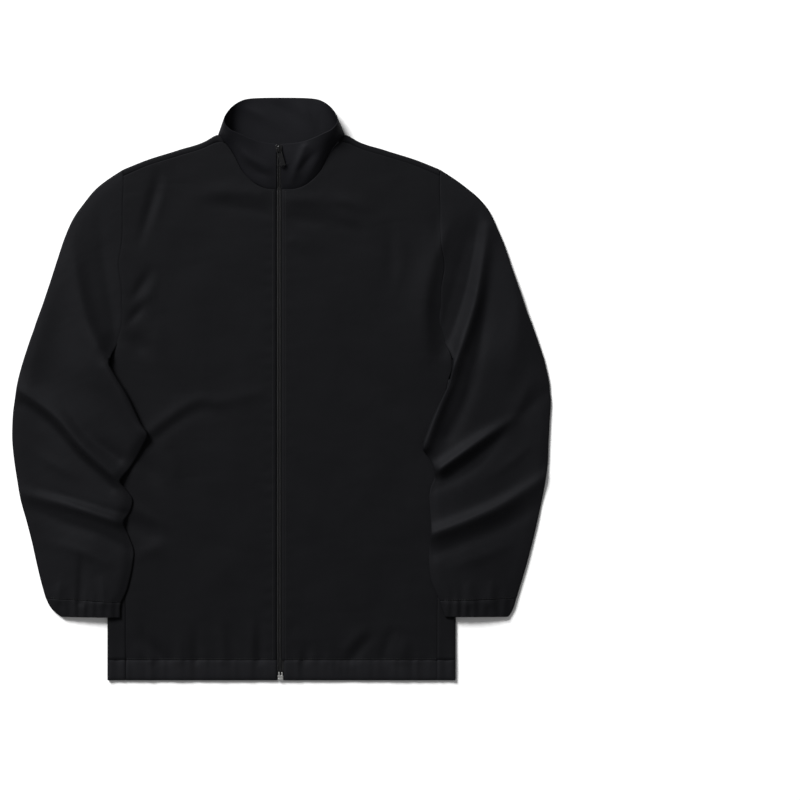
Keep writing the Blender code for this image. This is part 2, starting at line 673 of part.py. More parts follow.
def build_tape(name, side):
    """A tape with its row of coil at its inner edge, which stands up into the gap between the fronts. At
    the top the inner edges part round the slider's post."""
    seam_y = COLLAR[0].seam_y * MM
    end_y = COLLAR[0].top_y * MM - 0.4 * MM
    lengths = [ZIP_LOW, HEM_SEAM - 1 * MM] + [row[0][1] for row in panel_rows(side)]
    lengths += [seam_y + (end_y - seam_y) * (i + 1) / COLLAR_ROWS for i in range(COLLAR_ROWS)]
    surface = bmesh.new()
    rings = []
    for y in lengths:
        part_way = smoothstep(SLIDER_Y - 10 * MM, SLIDER_Y - 3 * MM, y)
        inner = COIL_APART + (COIL_PARTED - COIL_APART) * part_way
        places = (inner, COIL_HALF, COIL_HALF + 0.2 * MM, TAPE_HALF)
        over = [tape_top(ZIP_X + side * away, y) for away in places]
        over[0] += COIL_RISE
        over[1] += COIL_RISE
        ring = [(ZIP_X + side * away, y, z) for away, z in zip(places, over)]
        ring += [(ZIP_X + side * away, y, z - TAPE_WALL) for away, z in ((places[3], over[3]), (places[2], over[2]))]
        ring += [(ZIP_X + side * away, y, z - COIL_RISE - TAPE_WALL) for away, z in ((places[1], over[1]), (inner, over[0]))]
        rings.append([surface.verts.new(p) for p in ring])
    for first, second in zip(rings, rings[1:]):
        for i in range(len(first)):
            surface.faces.new((first[i - 1], first[i], second[i], second[i - 1]))
    surface.faces.new(rings[0][::-1])
    surface.faces.new(rings[-1])
    bmesh.ops.recalc_face_normals(surface, faces=surface.faces)
    mesh = bpy.data.meshes.new(name)
    surface.to_mesh(mesh)
    surface.free()
    add_piece(name, mesh, TAPE_BLACK, roughness=0.5)


def block_mesh(name, blocks, bevel=0.25 * MM, cuts=()):
    """One solid from overlapping blocks, each (size, centre), less its cuts, with its edges rounded."""
    makers = []
    for index, (size, centre) in enumerate((*blocks, *cuts)):
        mesh = bpy.data.meshes.new(f"{name}_{index}")
        box = bmesh.new()
        bmesh.ops.create_cube(box, size=1.0)
        for vert in box.verts:
            vert.co = Vector([c * n for c, n in zip(vert.co, size)]) * MM + Vector(centre) * MM
        if index < len(blocks):
            bmesh.ops.bevel(box, geom=list(box.edges), offset=bevel, segments=1, affect="EDGES")
        box.to_mesh(mesh)
        box.free()
        maker = bpy.data.objects.new(mesh.name, mesh)
        tools.objects.link(maker)
        makers.append(maker)
    whole = makers[0]
    for index, maker in enumerate(makers[1:], start=1):
        join = whole.modifiers.new("join", "BOOLEAN")
        join.operation = "UNION" if index < len(blocks) else "DIFFERENCE"
        join.solver = "EXACT"
        join.object = maker
    bpy.context.view_layer.update()
    graph = bpy.context.evaluated_depsgraph_get()
    mesh = bpy.data.meshes.new_from_object(whole.evaluated_get(graph))
    mesh.name = name
    for maker in makers:
        bpy.data.objects.remove(maker)
    return mesh


def collar_edge():
    """The collar's top edge at the zip: where it is, and how steep the front of the collar is there."""
    low, high = collar_stations()[0]
    share = (SLIDER_Y - low.y) / (high.y - low.y)
    step = 0.06
    rise = collar_height(low, high, share + step) - collar_height(low, high, share - step)
    slope = math.atan2(rise, 2 * step * (high.y - low.y))
    return Vector((ZIP_X, SLIDER_Y, collar_height(low, high, share))), slope


def build_slider():
    """The slider stands at the top of the zip. Its plates lie over the collar's edges and under the tapes,
    with a post between them, and a bridge holds the tab."""
    base, slope = collar_edge()
    top_low = SLIDER_LIFT
    plate_top = top_low + 1.4
    bottom_high = -(WALL + TAPE_GAP + TAPE_WALL) / MM - 0.55
    arch = plate_top + BRIDGE_CLEAR
    blocks = (
        ((9.0, 10.6, 1.4), (0, 0, top_low + 0.7)),
        ((2.2, 5.2, top_low - bottom_high + 0.4), (0, 2.2, (top_low + bottom_high) / 2)),
        ((7.0, 9.6, 1.2), (0, 0, bottom_high - 0.6)),
        ((1.8, 1.4, BRIDGE_CLEAR + 1.2), (0, 3.6, plate_top + BRIDGE_CLEAR / 2 + 0.4)),
        ((1.8, 1.4, BRIDGE_CLEAR + 1.2), (0, -3.6, plate_top + BRIDGE_CLEAR / 2 + 0.4)),
        ((2.1, 8.7, 1.2), (0, 0, arch + 0.6)),
    )
    mesh = block_mesh("zip_slider", blocks)
    mesh.transform(Matrix.Translation(base) @ Matrix.Rotation(slope, 4, "X"))
    add_piece("zip_slider", mesh, ZIP_BLACK, roughness=0.3)


def pull_frame():
    """The tab's own frame: its hinge under the bridge, turned to the right and a little down."""
    base, slope = collar_edge()
    hinge = Matrix.Translation((0, 0, (SLIDER_LIFT + 1.4 + BRIDGE_CLEAR / 2) * MM))
    turn = Matrix.Rotation(PULL_YAW, 4, "Z") @ Matrix.Rotation(PULL_TILT, 4, "X")
    return Matrix.Translation(base) @ Matrix.Rotation(slope, 4, "X") @ hinge @ turn


def build_pull():
    """A flat tab with a window at its upper end, whose bar lies under the bridge."""
    length, width, thick = 23.0, 7.0, 1.4
    window = 5.0
    plate = ((width, length, thick), (0, 0.7 - length / 2, 0))
    gap = ((4.6, window, 3 * thick), (0, -0.7 - window / 2, 0))
    mesh = block_mesh("zip_pull", (plate,), cuts=(gap,))
    mesh.transform(pull_frame())
    add_piece("zip_pull", mesh, ZIP_BLACK, roughness=0.3)


def build_bottom_stop():
    """The retainer box with its fixed pin at the hem, and the loose pin beside it."""
    low, high, pin_high = 1.95, 4.9, 4.2
    pin_y = (BOX_TOP + ZIP_LOW / MM - 0.3) / 2
    pin_long = ZIP_LOW / MM - 0.3 - BOX_TOP
    box_y = (HEM_END / MM + BOX_TOP) / 2
    box = ((7.2, BOX_TOP - HEM_END / MM, high - low), (BOX_X, box_y, (low + high) / 2))
    fixed = ((2.4, pin_long + 0.6, pin_high - low), (BOX_X + PIN_APART, pin_y - 0.3, (low + pin_high) / 2))
    loose = ((2.4, pin_long - 0.3, pin_high - low), (BOX_X - PIN_APART, pin_y + 0.15, (low + pin_high) / 2))
    add_piece("zip_box", block_mesh("zip_box", (box, fixed)), NICKEL, roughness=0.3, metallic=1.0)
    add_piece("zip_pin", block_mesh("zip_pin", (loose,)), NICKEL, roughness=0.3, metallic=1.0)


def remove_old_objects():
    for old in list(bpy.data.objects):
        bpy.data.objects.remove(old)


remove_old_objects()
garment = bpy.data.collections.new("windbreaker")
tools = bpy.data.collections.new("makers")
for group in (garment, tools):
    bpy.context.scene.collection.children.link(group)

build_back()
build_front("front_left", -1)
build_front("front_right", 1)
build_sleeve("sleeve_left", SLEEVE_LEFT, SLEEVE_FOLDS_LEFT)
build_sleeve("sleeve_right", SLEEVE_RIGHT, SLEEVE_FOLDS_RIGHT)
build_cuff("cuff_left", CUFF_LEFT, SLEEVE_FOLDS_LEFT)
build_cuff("cuff_right", CUFF_RIGHT, SLEEVE_FOLDS_RIGHT)
build_hem_back()
build_hem_front("hem_front_left", -1)
build_hem_front("hem_front_right", 1)
build_collar()
build_tape("zip_tape_left", -1)
build_tape("zip_tape_right", 1)
build_slider()
build_pull()
build_bottom_stop()
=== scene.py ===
"""Looks of a black zip-front windbreaker that lies flat with its front up.

Metres, with +X to the picture's right, +Y from the hem to the collar and +Z up from the surface. Each piece
of cloth is a thin shell on the form of its solid, on a finer grid that holds its folds, gathers and seams.
"""

import math
from collections import namedtuple

import bmesh
import bpy
import numpy as np
from mathutils import Matrix, Vector


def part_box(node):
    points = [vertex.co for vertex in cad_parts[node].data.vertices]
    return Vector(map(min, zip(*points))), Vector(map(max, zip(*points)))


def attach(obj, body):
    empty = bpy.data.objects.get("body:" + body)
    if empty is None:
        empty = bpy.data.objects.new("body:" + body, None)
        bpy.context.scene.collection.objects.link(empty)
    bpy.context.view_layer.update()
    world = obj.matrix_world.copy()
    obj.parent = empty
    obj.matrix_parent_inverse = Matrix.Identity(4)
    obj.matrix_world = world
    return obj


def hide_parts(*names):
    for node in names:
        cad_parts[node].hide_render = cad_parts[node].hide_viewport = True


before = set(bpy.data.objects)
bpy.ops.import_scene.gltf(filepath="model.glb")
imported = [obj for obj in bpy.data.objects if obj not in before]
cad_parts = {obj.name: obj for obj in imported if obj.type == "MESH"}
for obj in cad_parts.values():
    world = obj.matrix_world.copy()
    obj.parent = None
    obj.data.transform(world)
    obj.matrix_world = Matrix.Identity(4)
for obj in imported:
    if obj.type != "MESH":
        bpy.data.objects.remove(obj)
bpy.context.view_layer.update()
MM = 0.001

# ----------------------------------------
# Fronts. Two panels from the zip to the side seam, of thin black polyester in a plain weave with a faint
# cool sheen. They are sewn to the back at the shoulders and sides and to the sleeves at the armholes. They
# lie on the back with shallow dents, and the hem's elastic gathers them.
# ----------------------------------------


def add_node(tree, kind, values=(), **settings):
    """A node with its settings, and with its inputs set to values or joined to sockets."""
    node = tree.nodes.new(kind)
    for name, setting in settings.items():
        setattr(node, name, setting)
    for name, value in dict(values).items():
        if isinstance(value, bpy.types.NodeSocket):
            tree.links.new(value, node.inputs[name])
        else:
            node.inputs[name].default_value = value
    return node


def math_node(tree, operation, *values):
    """The output of a Math node on sockets or numbers."""
    return add_node(tree, "ShaderNodeMath", enumerate(values), operation=operation).outputs[0]


def new_tree(name, kind, inputs, outputs):
    """A node group with named sockets. Returns the tree and its input node."""
    tree = bpy.data.node_groups.new(name, kind)
    for way, sockets in (("INPUT", inputs), ("OUTPUT", outputs)):
        for label, socket_type in sockets.items():
            tree.interface.new_socket(label, in_out=way, socket_type="NodeSocket" + socket_type)
    return tree, tree.nodes.new("NodeGroupInput")


def weave_group():
    """Threads that pass over and under each other, as a height from 0 to 1."""
    tree, given = new_tree(
        "plain_weave", "ShaderNodeTree", {"Vector": "Vector", "Pitch": "Float"}, {"Height": "Float"}
    )
    split = add_node(tree, "ShaderNodeSeparateXYZ", {0: given.outputs["Vector"]})
    counts = [math_node(tree, "DIVIDE", split.outputs[axis], given.outputs["Pitch"]) for axis in "XY"]
    warp, weft = (
        math_node(tree, "ABSOLUTE", math_node(tree, "SINE", math_node(tree, "MULTIPLY", count, math.pi)))
        for count in counts
    )
    cells = math_node(tree, "ADD", *(math_node(tree, "FLOOR", count) for count in counts))
    over = math_node(tree, "PINGPONG", cells, 1.0)
    pick = add_node(tree, "ShaderNodeMix", {"Factor": over, "A": warp, "B": weft})
    add_node(tree, "NodeGroupOutput", {"Height": pick.outputs["Result"]})
    return tree


def rumple_group():
    """Soft shallow rumples in two directions, as a height from 0 to 1."""
    tree, given = new_tree(
        "soft_rumple", "ShaderNodeTree", {"Vector": "Vector", "Scale": "Float"}, {"Height": "Float"}
    )
    heights = []
    for turn, stretch in ((0.5, (1.0, 0.45, 1.0)), (-0.9, (0.5, 1.2, 1.0))):
        place = {"Vector": given.outputs["Vector"], "Rotation": (0, 0, turn), "Scale": stretch}
        place = add_node(tree, "ShaderNodeMapping", place).outputs["Vector"]
        noise = {"Vector": place, "Scale": given.outputs["Scale"], "Detail": 2.5, "Distortion": 0.4}
        heights.append(add_node(tree, "ShaderNodeTexNoise", noise).outputs[0])
    both = math_node(tree, "MULTIPLY", math_node(tree, "ADD", *heights), 0.5)
    add_node(tree, "NodeGroupOutput", {"Height": both})
    return tree


def new_material(name, values):
    """A material with values that are the same all over it. Returns it, its tree, its shader and the
    places on the object that its patterns read."""
    material = bpy.data.materials.new(name)
    material.use_nodes = True
    tree = material.node_tree
    shader = tree.nodes["Principled BSDF"]
    for socket, value in values.items():
        shader.inputs[socket].default_value = value
    return material, tree, shader, add_node(tree, "ShaderNodeTexCoord").outputs["Object"]


def shade_by(tree, shader, mask, tones, gloss):
    """Colour and roughness that change with a mask, from the first of each pair to the second."""
    dark, light = ((*tone, 1.0) for tone in tones)
    shade = add_node(tree, "ShaderNodeMix", {"Factor": mask, "A": dark, "B": light}, data_type="RGBA")
    rough = add_node(tree, "ShaderNodeMapRange", {"Value": mask, "To Min": gloss[0], "To Max": gloss[1]})
    tree.links.new(shade.outputs["Result"], shader.inputs["Base Color"])
    tree.links.new(rough.outputs["Result"], shader.inputs["Roughness"])


def raise_by(tree, shader, height, distance):
    """A height on the surface, on top of what raises it already. The distance is in metres."""
    values = {"Normal": link.from_socket for link in shader.inputs["Normal"].links}
    bump = add_node(tree, "ShaderNodeBump", {"Height": height, "Distance": distance, **values})
    tree.links.new(bump.outputs["Normal"], shader.inputs["Normal"])


WEAVE = weave_group()
RUMPLE = rumple_group()
BODY_TONES = ((0.0027, 0.0027, 0.0031), (0.0039, 0.0039, 0.0045))


def shell_cloth(name, grain=0.0, rumple=0.0015, tones=BODY_TONES):
    """The shell cloth with its grain turned by an angle, and with rumples of a given height in metres."""
    material, tree, shader, place = new_material(name, {
        "Specular IOR Level": 0.08,
        "Specular Tint": (0.9, 0.92, 1.0, 1.0),
        "Sheen Weight": 0.004,
        "Sheen Roughness": 0.4,
        "Sheen Tint": (0.82, 0.86, 1.0, 1.0),
    })
    turned = add_node(tree, "ShaderNodeMapping", {"Vector": place, "Rotation": (0, 0, grain)})
    place = turned.outputs["Vector"]
    mottle = add_node(tree, "ShaderNodeTexNoise", {"Vector": place, "Scale": 34.0, "Detail": 5.0})
    shade_by(tree, shader, mottle.outputs[0], tones, (0.54, 0.7))
    soft = add_node(tree, "ShaderNodeGroup", {"Vector": place, "Scale": 22.0}, node_tree=RUMPLE)
    threads = add_node(tree, "ShaderNodeGroup", {"Vector": place, "Pitch": 0.0006}, node_tree=WEAVE)
    raise_by(tree, shader, soft.outputs["Height"], rumple)
    raise_by(tree, shader, threads.outputs["Height"], 0.00004)
    return material


CLOTH_WALL = 0.7 * MM
CASING_WALL = 1.3 * MM  # two layers and the elastic between them


def linked(name, data):
    """An object of its data, in the scene."""
    piece = bpy.data.objects.new(name, data)
    bpy.context.scene.collection.objects.link(piece)
    return piece


def cloth_piece(name, outer, inner, material, ring=False):
    """A shell from the points of its outer and its inner face, with rounded edges between them. The points
    are arrays of rows; nan is a place that the piece doesn't reach, and ring joins each row's two ends."""
    there = ~np.isnan(outer[..., 0])
    index = np.where(there, np.cumsum(there.ravel()).reshape(there.shape) - 1, -1)
    if ring:
        index = np.column_stack([index, index[:, 0]])
    outer_points, inner_points = outer[there], inner[there]
    count = len(outer_points)
    quads = np.stack([index[:-1, :-1], index[:-1, 1:], index[1:, 1:], index[1:, :-1]], axis=-1)
    quads = quads.reshape(-1, 4)
    quads = quads[quads.min(axis=1) >= 0]
    a, b, c, d = (outer_points[quads[:, n]] for n in range(4))
    faced = np.einsum("ij,ij->i", np.cross(c - a, d - b), a - inner_points[quads[:, 0]])
    if faced.sum() < 0:
        quads = quads[:, ::-1]
    sides = np.concatenate([quads[:, (n, (n + 1) % 4)] for n in range(4)])
    known = {(int(p), int(q)) for p, q in sides}
    edges = sorted((p, q) for p, q in known if (q, p) not in known)
    thick = outer_points - inner_points
    away = np.zeros_like(outer_points)
    for p, q in edges:
        along = outer_points[q] - outer_points[p]
        along /= max(np.linalg.norm(along), 1e-9)
        for end in (p, q):
            away[end] += np.cross(along, thick[end])
    rim = sorted({p for edge in edges for p in edge})
    middle = {p: 2 * count + n for n, p in enumerate(rim)}
    size = np.linalg.norm(thick, axis=1)
    length = np.maximum(np.linalg.norm(away, axis=1), 1e-9)
    bulge = away * (0.45 * size / length)[:, None]
    rim_points = (outer_points[rim] + inner_points[rim]) / 2 + bulge[rim]
    faces = quads.tolist() + (quads[:, ::-1] + count).tolist()
    for p, q in edges:
        faces.append((q, p, middle[p], middle[q]))
        faces.append((middle[q], middle[p], p + count, q + count))
    mesh = bpy.data.meshes.new(name)
    mesh.from_pydata(np.concatenate([outer_points, inner_points, rim_points]).tolist(), [], faces)
    mesh.materials.append(material)
    mesh.shade_smooth()
    return linked(name + "_shell", mesh)


def finished(piece, node, body="garment"):
    """The piece rides on its body in its solid's place."""
    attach(piece, body)
    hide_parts(node)


SEAM_GAP = 0.4 * MM
FLAT_THICK = 4.9 * MM  # where the two layers of the body or a sleeve lie together
LEAST_THICK = 2.6 * MM
HALF_BODY = 223 * MM  # centre line to the fold at the body's side
HEM_SEAM = -347 * MM
HEM_END = -372.5 * MM
ZIP_X = -3 * MM
ZIP_HALF = 3.4 * MM  # zip centre to the folded edge of a front
SEAM_TUCK = 0.4 * MM  # how far an edge that is sewn under lies below the edge over it


def table(columns, *rows):
    """Rows with named columns."""
    kind = namedtuple("Row", columns)
    return [kind(*row) for row in rows]


BODY_EDGE = table(
    "y front back",
    (-347, 199, 223), (-298, 199, 223), (-222, 201, 223), (-142, 205, 223), (-62, 209, 223), (12, 213.5, 223),
    (24, 217.4, 220.4), (37, 218, 220), (58, 211, 211), (83, 204, 202), (105, 204, 193), (128, 204, 187),
    (158, 208, 184), (186, 204, 182), (212, 203, 185), (237, 203, 190), (257, 202, 196), (272, 202, 202),
)
BODY_TOP = table(
    "x front back",
    (0, 255, 312), (20, 256.5, 312), (32, 261.5, 312), (42, 269.5, 312), (51, 280, 312), (63, 303, 312),
    (75, 316, 322), (80, 315.7, 325.5), (84, 315, 325), (88, 313.5, 323), (93, 311, 319.8), (132, 298, 306),
    (173, 285, 293), (203, 272, 281), (230, 262, 270),
)

FOLD = "path heights width lee"
BODY_FOLDS = table(
    FOLD,
    (((-34, 262), (0, 250), (34, 262)), (1.0, 1.6, 1.0), 26, 26),  # rise to the collar's front
    # the chest, left and right of the zip
    (((-104, 250), (-66, 252), (-28, 249)), (0.4, 1.8, 1.1), 9, 8),
    (((-95, 238), (-58, 233), (-21, 227)), (-0.3, -1.0, -0.9), 6, 7),
    (((11, 242), (40, 243), (80, 240), (113, 232)), (1.2, 1.6, 1.6, 0.4), 7, 9),
    (((15, 218), (40, 215), (70, 209), (100, 204)), (-0.7, -1.2, -1.1, -0.3), 8, 8),
    (((13, 191), (24, 186), (36, 177)), (1.0, 0.9, 0.2), 6, 6),
    (((56, 226), (80, 221), (104, 214)), (0.2, 0.9, 0.1), 6, 8),
    (((139, 211), (140, 170), (139, 129)), (-0.2, -0.9, -0.2), 8, 8),
    (((198, 232), (199, 205), (198, 178)), (-0.2, -1.0, -0.2), 6, 7),
    (((152, 205), (154, 160), (151, 130)), (0.1, 0.7, 0.1), 8, 7),
    # beside the right armhole
    (((216, 212), (200, 176), (190, 140), (184, 96), (188, 44)), (0.6, 2.6, 3.6, 3.6, 1.4), 9, 20),
    (((252, 222), (245, 186), (233, 132), (218, 82), (208, 48)), (-0.8, -3.6, -4.6, -4.6, -1.6), 7, 15),
    # beside the left armhole and inwards from the armpit
    (((-234, 214), (-226, 150), (-216, 96), (-212, 62)), (-0.6, -1.6, -1.9, -1.2), 9, 9),
    (((-157, 274), (-164, 246), (-172, 218), (-181, 188)), (-0.8, -2.2, -2.2, -0.6), 7, 6),
    (((-148, 262), (-158, 232), (-168, 200)), (0.3, 1.2, 0.2), 7, 7),
    (((-168, 152), (-179, 133), (-190, 116)), (-0.5, -2.3, -0.6), 6, 5),
    (((-174, 112), (-184, 99), (-196, 84)), (-0.5, -2.2, -0.8), 6, 5),
    (((-160, 140), (-172, 116), (-182, 104)), (0.3, 1.0, 0.3), 6, 6),
    (((-194, 66), (-182, 56), (-172, 44)), (-1.0, -2.4, -0.8), 10, 8),
    (((-168, 76), (-160, 60), (-158, 40)), (0.2, 0.9, 0.2), 9, 9),
    (((-168, -56), (-145, -38), (-125, -24), (-103, -14), (-79, -17), (-40, -8), (-14, -4)),
     (1.8, 1.9, 1.6, 1.2, 1.0, 0.8, 0.2), 9, 6),  # the crease from the elbow's tip towards the zip
    (((-166, -66), (-140, -46), (-112, -30), (-80, -30)), (-1.0, -1.2, -0.9, -0.2), 7, 8),
    # beside the left sleeve, down to the cuff
    (((-178, -92), (-168, -106), (-156, -124)), (-1.6, -2.4, -0.6), 10, 9),
    (((-150, -84), (-138, -98), (-132, -120)), (0.2, 0.8, 0.1), 9, 9),
    (((-196, -172), (-178, -180), (-164, -186), (-152, -188)), (-2.2, -2.6, -1.9, -0.4), 11, 10),
    (((-190, -150), (-168, -164), (-142, -178)), (0.6, 1.2, 0.2), 7, 7),
    (((-184, -214), (-166, -206), (-150, -200)), (0.6, 1.0, 0.2), 8, 8),
    # drawn up by the hem's elastic, from left to right
    (((-182, -300), (-172, -323), (-149, -347)), (0.0, -1.4, -1.6), 6, 7),
    (((-186, -322), (-178, -336), (-168, -347)), (0.0, 1.2, 1.2), 6, 6),
    (((-132, -318), (-129, -342), (-128, -348)), (0.0, 1.2, 1.2), 6, 6),
    (((-109, -296), (-109, -325), (-109, -347)), (0.0, -1.3, -1.6), 5, 6),
    (((-75, -300), (-66, -315), (-60, -330)), (0.0, -1.0, -0.2), 6, 6),
    (((-84, -304), (-76, -320), (-74, -346)), (0.0, 0.9, 0.9), 6, 6),
    (((-28, -286), (-28, -318), (-28, -347)), (0.0, -1.5, -1.9), 5, 5),
    (((-38, -292), (-38, -320), (-39, -347)), (0.0, 1.1, 1.1), 6, 5),
    (((15, -298), (15, -306), (15, -318)), (0.0, -0.9, 0.0), 6, 6),
    (((33, -324), (33, -336), (33, -346)), (0.0, -1.2, -1.2), 6, 6),
    (((122, -310), (108, -324), (96, -338), (86, -349)), (0.0, -1.3, -1.9, -1.9), 6, 7),
    (((112, -304), (98, -316), (84, -332)), (0.0, 1.3, 0.7), 7, 7),
    (((146, -302), (138, -320), (130, -342)), (0.0, -1.2, -1.4), 6, 6),
    (((160, -316), (156, -332), (152, -346)), (0.0, 1.0, 1.0), 7, 7),
)


def smooth_value(rows, key, column, at):
    """Reads a table along a smooth curve through its rows. Millimetres in and out."""
    keys = np.array([getattr(row, key) for row in rows], float)
    values = np.array([getattr(row, column) for row in rows], float)
    slopes = np.gradient(values, keys)
    slopes = np.where(np.abs(slopes) < 0.02, 0.0, slopes)
    at = np.clip(np.asarray(at, float), keys[0], keys[-1])
    low = np.clip(np.searchsorted(keys, at, side="right") - 1, 0, len(keys) - 2)
    span = keys[low + 1] - keys[low]
    t = (at - keys[low]) / span
    start, end = values[low], values[low + 1]
    curve = (1 + 2 * t) * (1 - t) ** 2 * start + t * t * (3 - 2 * t) * end
    return curve + span * (t * (1 - t) ** 2 * slopes[low] - t * t * (1 - t) * slopes[low + 1])


def smooth_path(points, steps):
    """A smooth curve through points, as an array, with steps spans from each to the next."""
    points = np.array(points, float)
    points = np.vstack([points[:1], points, points[-1:]])
    curve = []
    for a, b, c, d in zip(points, points[1:], points[2:], points[3:]):
        for t in np.arange(steps) / steps:
            curve.append(0.5 * (2 * b + (c - a) * t + (2 * a - 5 * b + 4 * c - d) * t**2
                                + (3 * b - a - 3 * c + d) * t**3))
    return np.array(curve + [points[-1]])


def smoothstep(low, high, value):
    """0 up to low and 1 from high on, with a soft ramp between them."""
    t = np.clip((value - low) / (high - low), 0.0, 1.0)
    return t * t * (3 - 2 * t)


def side_edge(layer, y):
    """The distance from the centre line to the side edge of the body's front or back, at y."""
    return smooth_value(BODY_EDGE, "y", layer, y / MM) * MM


def upper_edge(layer, x):
    """The y of the upper edge of the body's front or back, at x."""
    return smooth_value(BODY_TOP, "x", layer, np.abs(x) / MM) * MM


def fold_height(x, y, folds):
    """What a table of folds adds to the height at places in metres. A fold is a ridge or a trough along
    its path, and fades over width on the path's left and over lee on its right."""
    x, y = np.asarray(x, float) / MM, np.asarray(y, float) / MM
    total = np.zeros(np.broadcast(x, y).shape)
    for fold in folds:
        line = smooth_path([(*place, height) for place, height in zip(fold.path, fold.heights)], 4)
        nearest = np.full(total.shape, np.inf)
        height = np.zeros(total.shape)
        lean = np.zeros(total.shape)
        for start, end in zip(line, line[1:]):
            leg = end[:2] - start[:2]
            length = math.hypot(*leg)
            share = np.clip(((x - start[0]) * leg[0] + (y - start[1]) * leg[1]) / length**2, 0, 1)
            off_x, off_y = x - start[0] - share * leg[0], y - start[1] - share * leg[1]
            off = np.hypot(off_x, off_y)
            closer = off < nearest
            nearest = np.where(closer, off, nearest)
            height = np.where(closer, start[2] + share * (end[2] - start[2]), height)
            side = (leg[0] * off_y - leg[1] * off_x) / (length * np.maximum(off, 1e-6))
            lean = np.where(closer, side, lean)
        reach = (fold.width + fold.lee) / 2 + (fold.width - fold.lee) / 2 * lean
        total += height * np.exp(-((np.sqrt(nearest**2 + 0.8) / reach) ** 1.7))
    return total * MM


def soft_floor(value, floor, blend=0.35 * MM):
    """The larger of the two, rounded where they cross. It is nan where there is no cloth."""
    with np.errstate(invalid="ignore"):
        return floor + blend * np.logaddexp(0.0, (value - floor) / blend)


def near(distance, reach):
    """1 at no distance, fading to 0 beyond the reach."""
    return np.exp(-((distance / reach) ** 2))


def drift(x, y):
    """Slow shallow unevenness of cloth that lies loose."""
    x, y = np.asarray(x) / MM, np.asarray(y) / MM
    first = np.sin(x / 23 + 1.7 * np.sin(y / 61)) * np.sin(y / 31 + 1.3 * np.sin(x / 47))
    second = np.sin((x + 0.8 * y) / 17 + np.sin(y / 29)) * np.sin((y - 0.5 * x) / 41)
    return (0.3 * first + 0.2 * second) * MM


def uneven_wave(place, pace, sway, sway_pace):
    """A wave from -1 to 1 whose length sways. The paces are in millimetres for each radian."""
    place = place / MM
    return np.sin(place / pace + sway * np.sin(place / sway_pace))


def hem_gathers(x, y):
    """The folds that the hem's elastic draws up into the panel above it."""
    wave = uneven_wave(x, 3.1, 1.4, 23) * (0.6 + 0.4 * np.sin(x / MM / 37 + 1))
    clear = smoothstep(14 * MM, 26 * MM, np.abs(x - ZIP_X))
    return 0.55 * MM * wave * clear * np.exp(-np.maximum(y - HEM_SEAM, 0) / (15 * MM))


def body_top(x, y):
    """Height of the body's upper face where nothing lies on it."""
    height = FLAT_THICK + fold_height(x, y, BODY_FOLDS) + drift(x, y) + hem_gathers(x, y)
    return soft_floor(height, LEAST_THICK)


def grid_shares(count, length, edge=(0.5, 1.2, 2.4, 4.2)):
    """Even shares of a length, with closer ones by its two ends for the turn at a seam."""
    close = np.array(edge) * MM / length
    even = np.linspace(0, 1, count + 1)
    even = even[(even > close[-1] * 1.4) & (even < 1 - close[-1] * 1.4)]
    return np.concatenate([[0.0], close, even, 1 - close[::-1], [1.0]])


def seam_turn(away, depth=0.32 * MM, reach=1.3 * MM):
    """How far cloth sinks beside a seam or a folded edge, at a distance from it."""
    return -depth * near(away, reach) + 0.05 * MM * near(away - 3.6 * MM, 2 * MM)


def points_at(x, y, z):
    """One array of points from arrays or numbers for each axis."""
    return np.stack(np.broadcast_arrays(x, y, z), axis=-1)


PANEL_LENGTH = 0.62  # about, as is the width: they set how close rows lie beside a seam
PANEL_WIDTH = 0.2
PUCKER_AWAY = 9 * MM  # from a front's folded edge to the puckers that its stitching draws up
PUCKER_REACH = 5 * MM


def front_points(side):
    """Places on a front, from the zip's edge to the side and from the hem's casing to the top."""
    inner = ZIP_X + side * ZIP_HALF
    bottom = HEM_SEAM + SEAM_GAP / 2
    edge_y = HEM_SEAM + grid_shares(150, PANEL_LENGTH)[:, None] * (BODY_EDGE[-1].y * MM - HEM_SEAM)
    edge_x = side_edge("front", edge_y)
    rise = np.minimum((edge_y - HEM_SEAM) / (upper_edge("front", edge_x) - HEM_SEAM), 1.0)
    rise[-1] = 1.0
    x = inner + (side * edge_x - inner) * grid_shares(48, PANEL_WIDTH)[None, :]
    y = bottom + rise * (upper_edge("front", x) - bottom)
    from_zip = np.abs(x - inner)
    z = body_top(x, y)
    z += seam_turn(from_zip, 0.8 * MM, 1.1 * MM)
    z += 0.25 * seam_turn(np.abs(side * edge_x - x))
    z += 0.15 * seam_turn((1 - rise) * PANEL_LENGTH) + 0.5 * seam_turn(rise * PANEL_LENGTH)
    pucker = uneven_wave(y, 2.6, 2.0, 31) * near(from_zip - PUCKER_AWAY, PUCKER_REACH)
    z += (0.22 if side < 0 else 0.12) * MM * pucker * smoothstep(250 * MM, 200 * MM, y)
    return points_at(x, y, z)


def lowered(points, by):
    """Points moved straight down, such as to the inner face of a wall that lies flat."""
    return points - np.array([0.0, 0.0, by])


front_cloth = shell_cloth("front_cloth")
for side, name in ((-1, "front_left"), (1, "front_right")):
    points = front_points(side)
    piece = cloth_piece(name, points, lowered(points, CLOTH_WALL), front_cloth)
    finished(piece, name)

# ----------------------------------------
# Back. One panel that lies on the surface, comes round both sides to the side seams and forward over the
# shoulders to their seams. Its weight presses it flat, apart from a few shallow hollows.
# ----------------------------------------

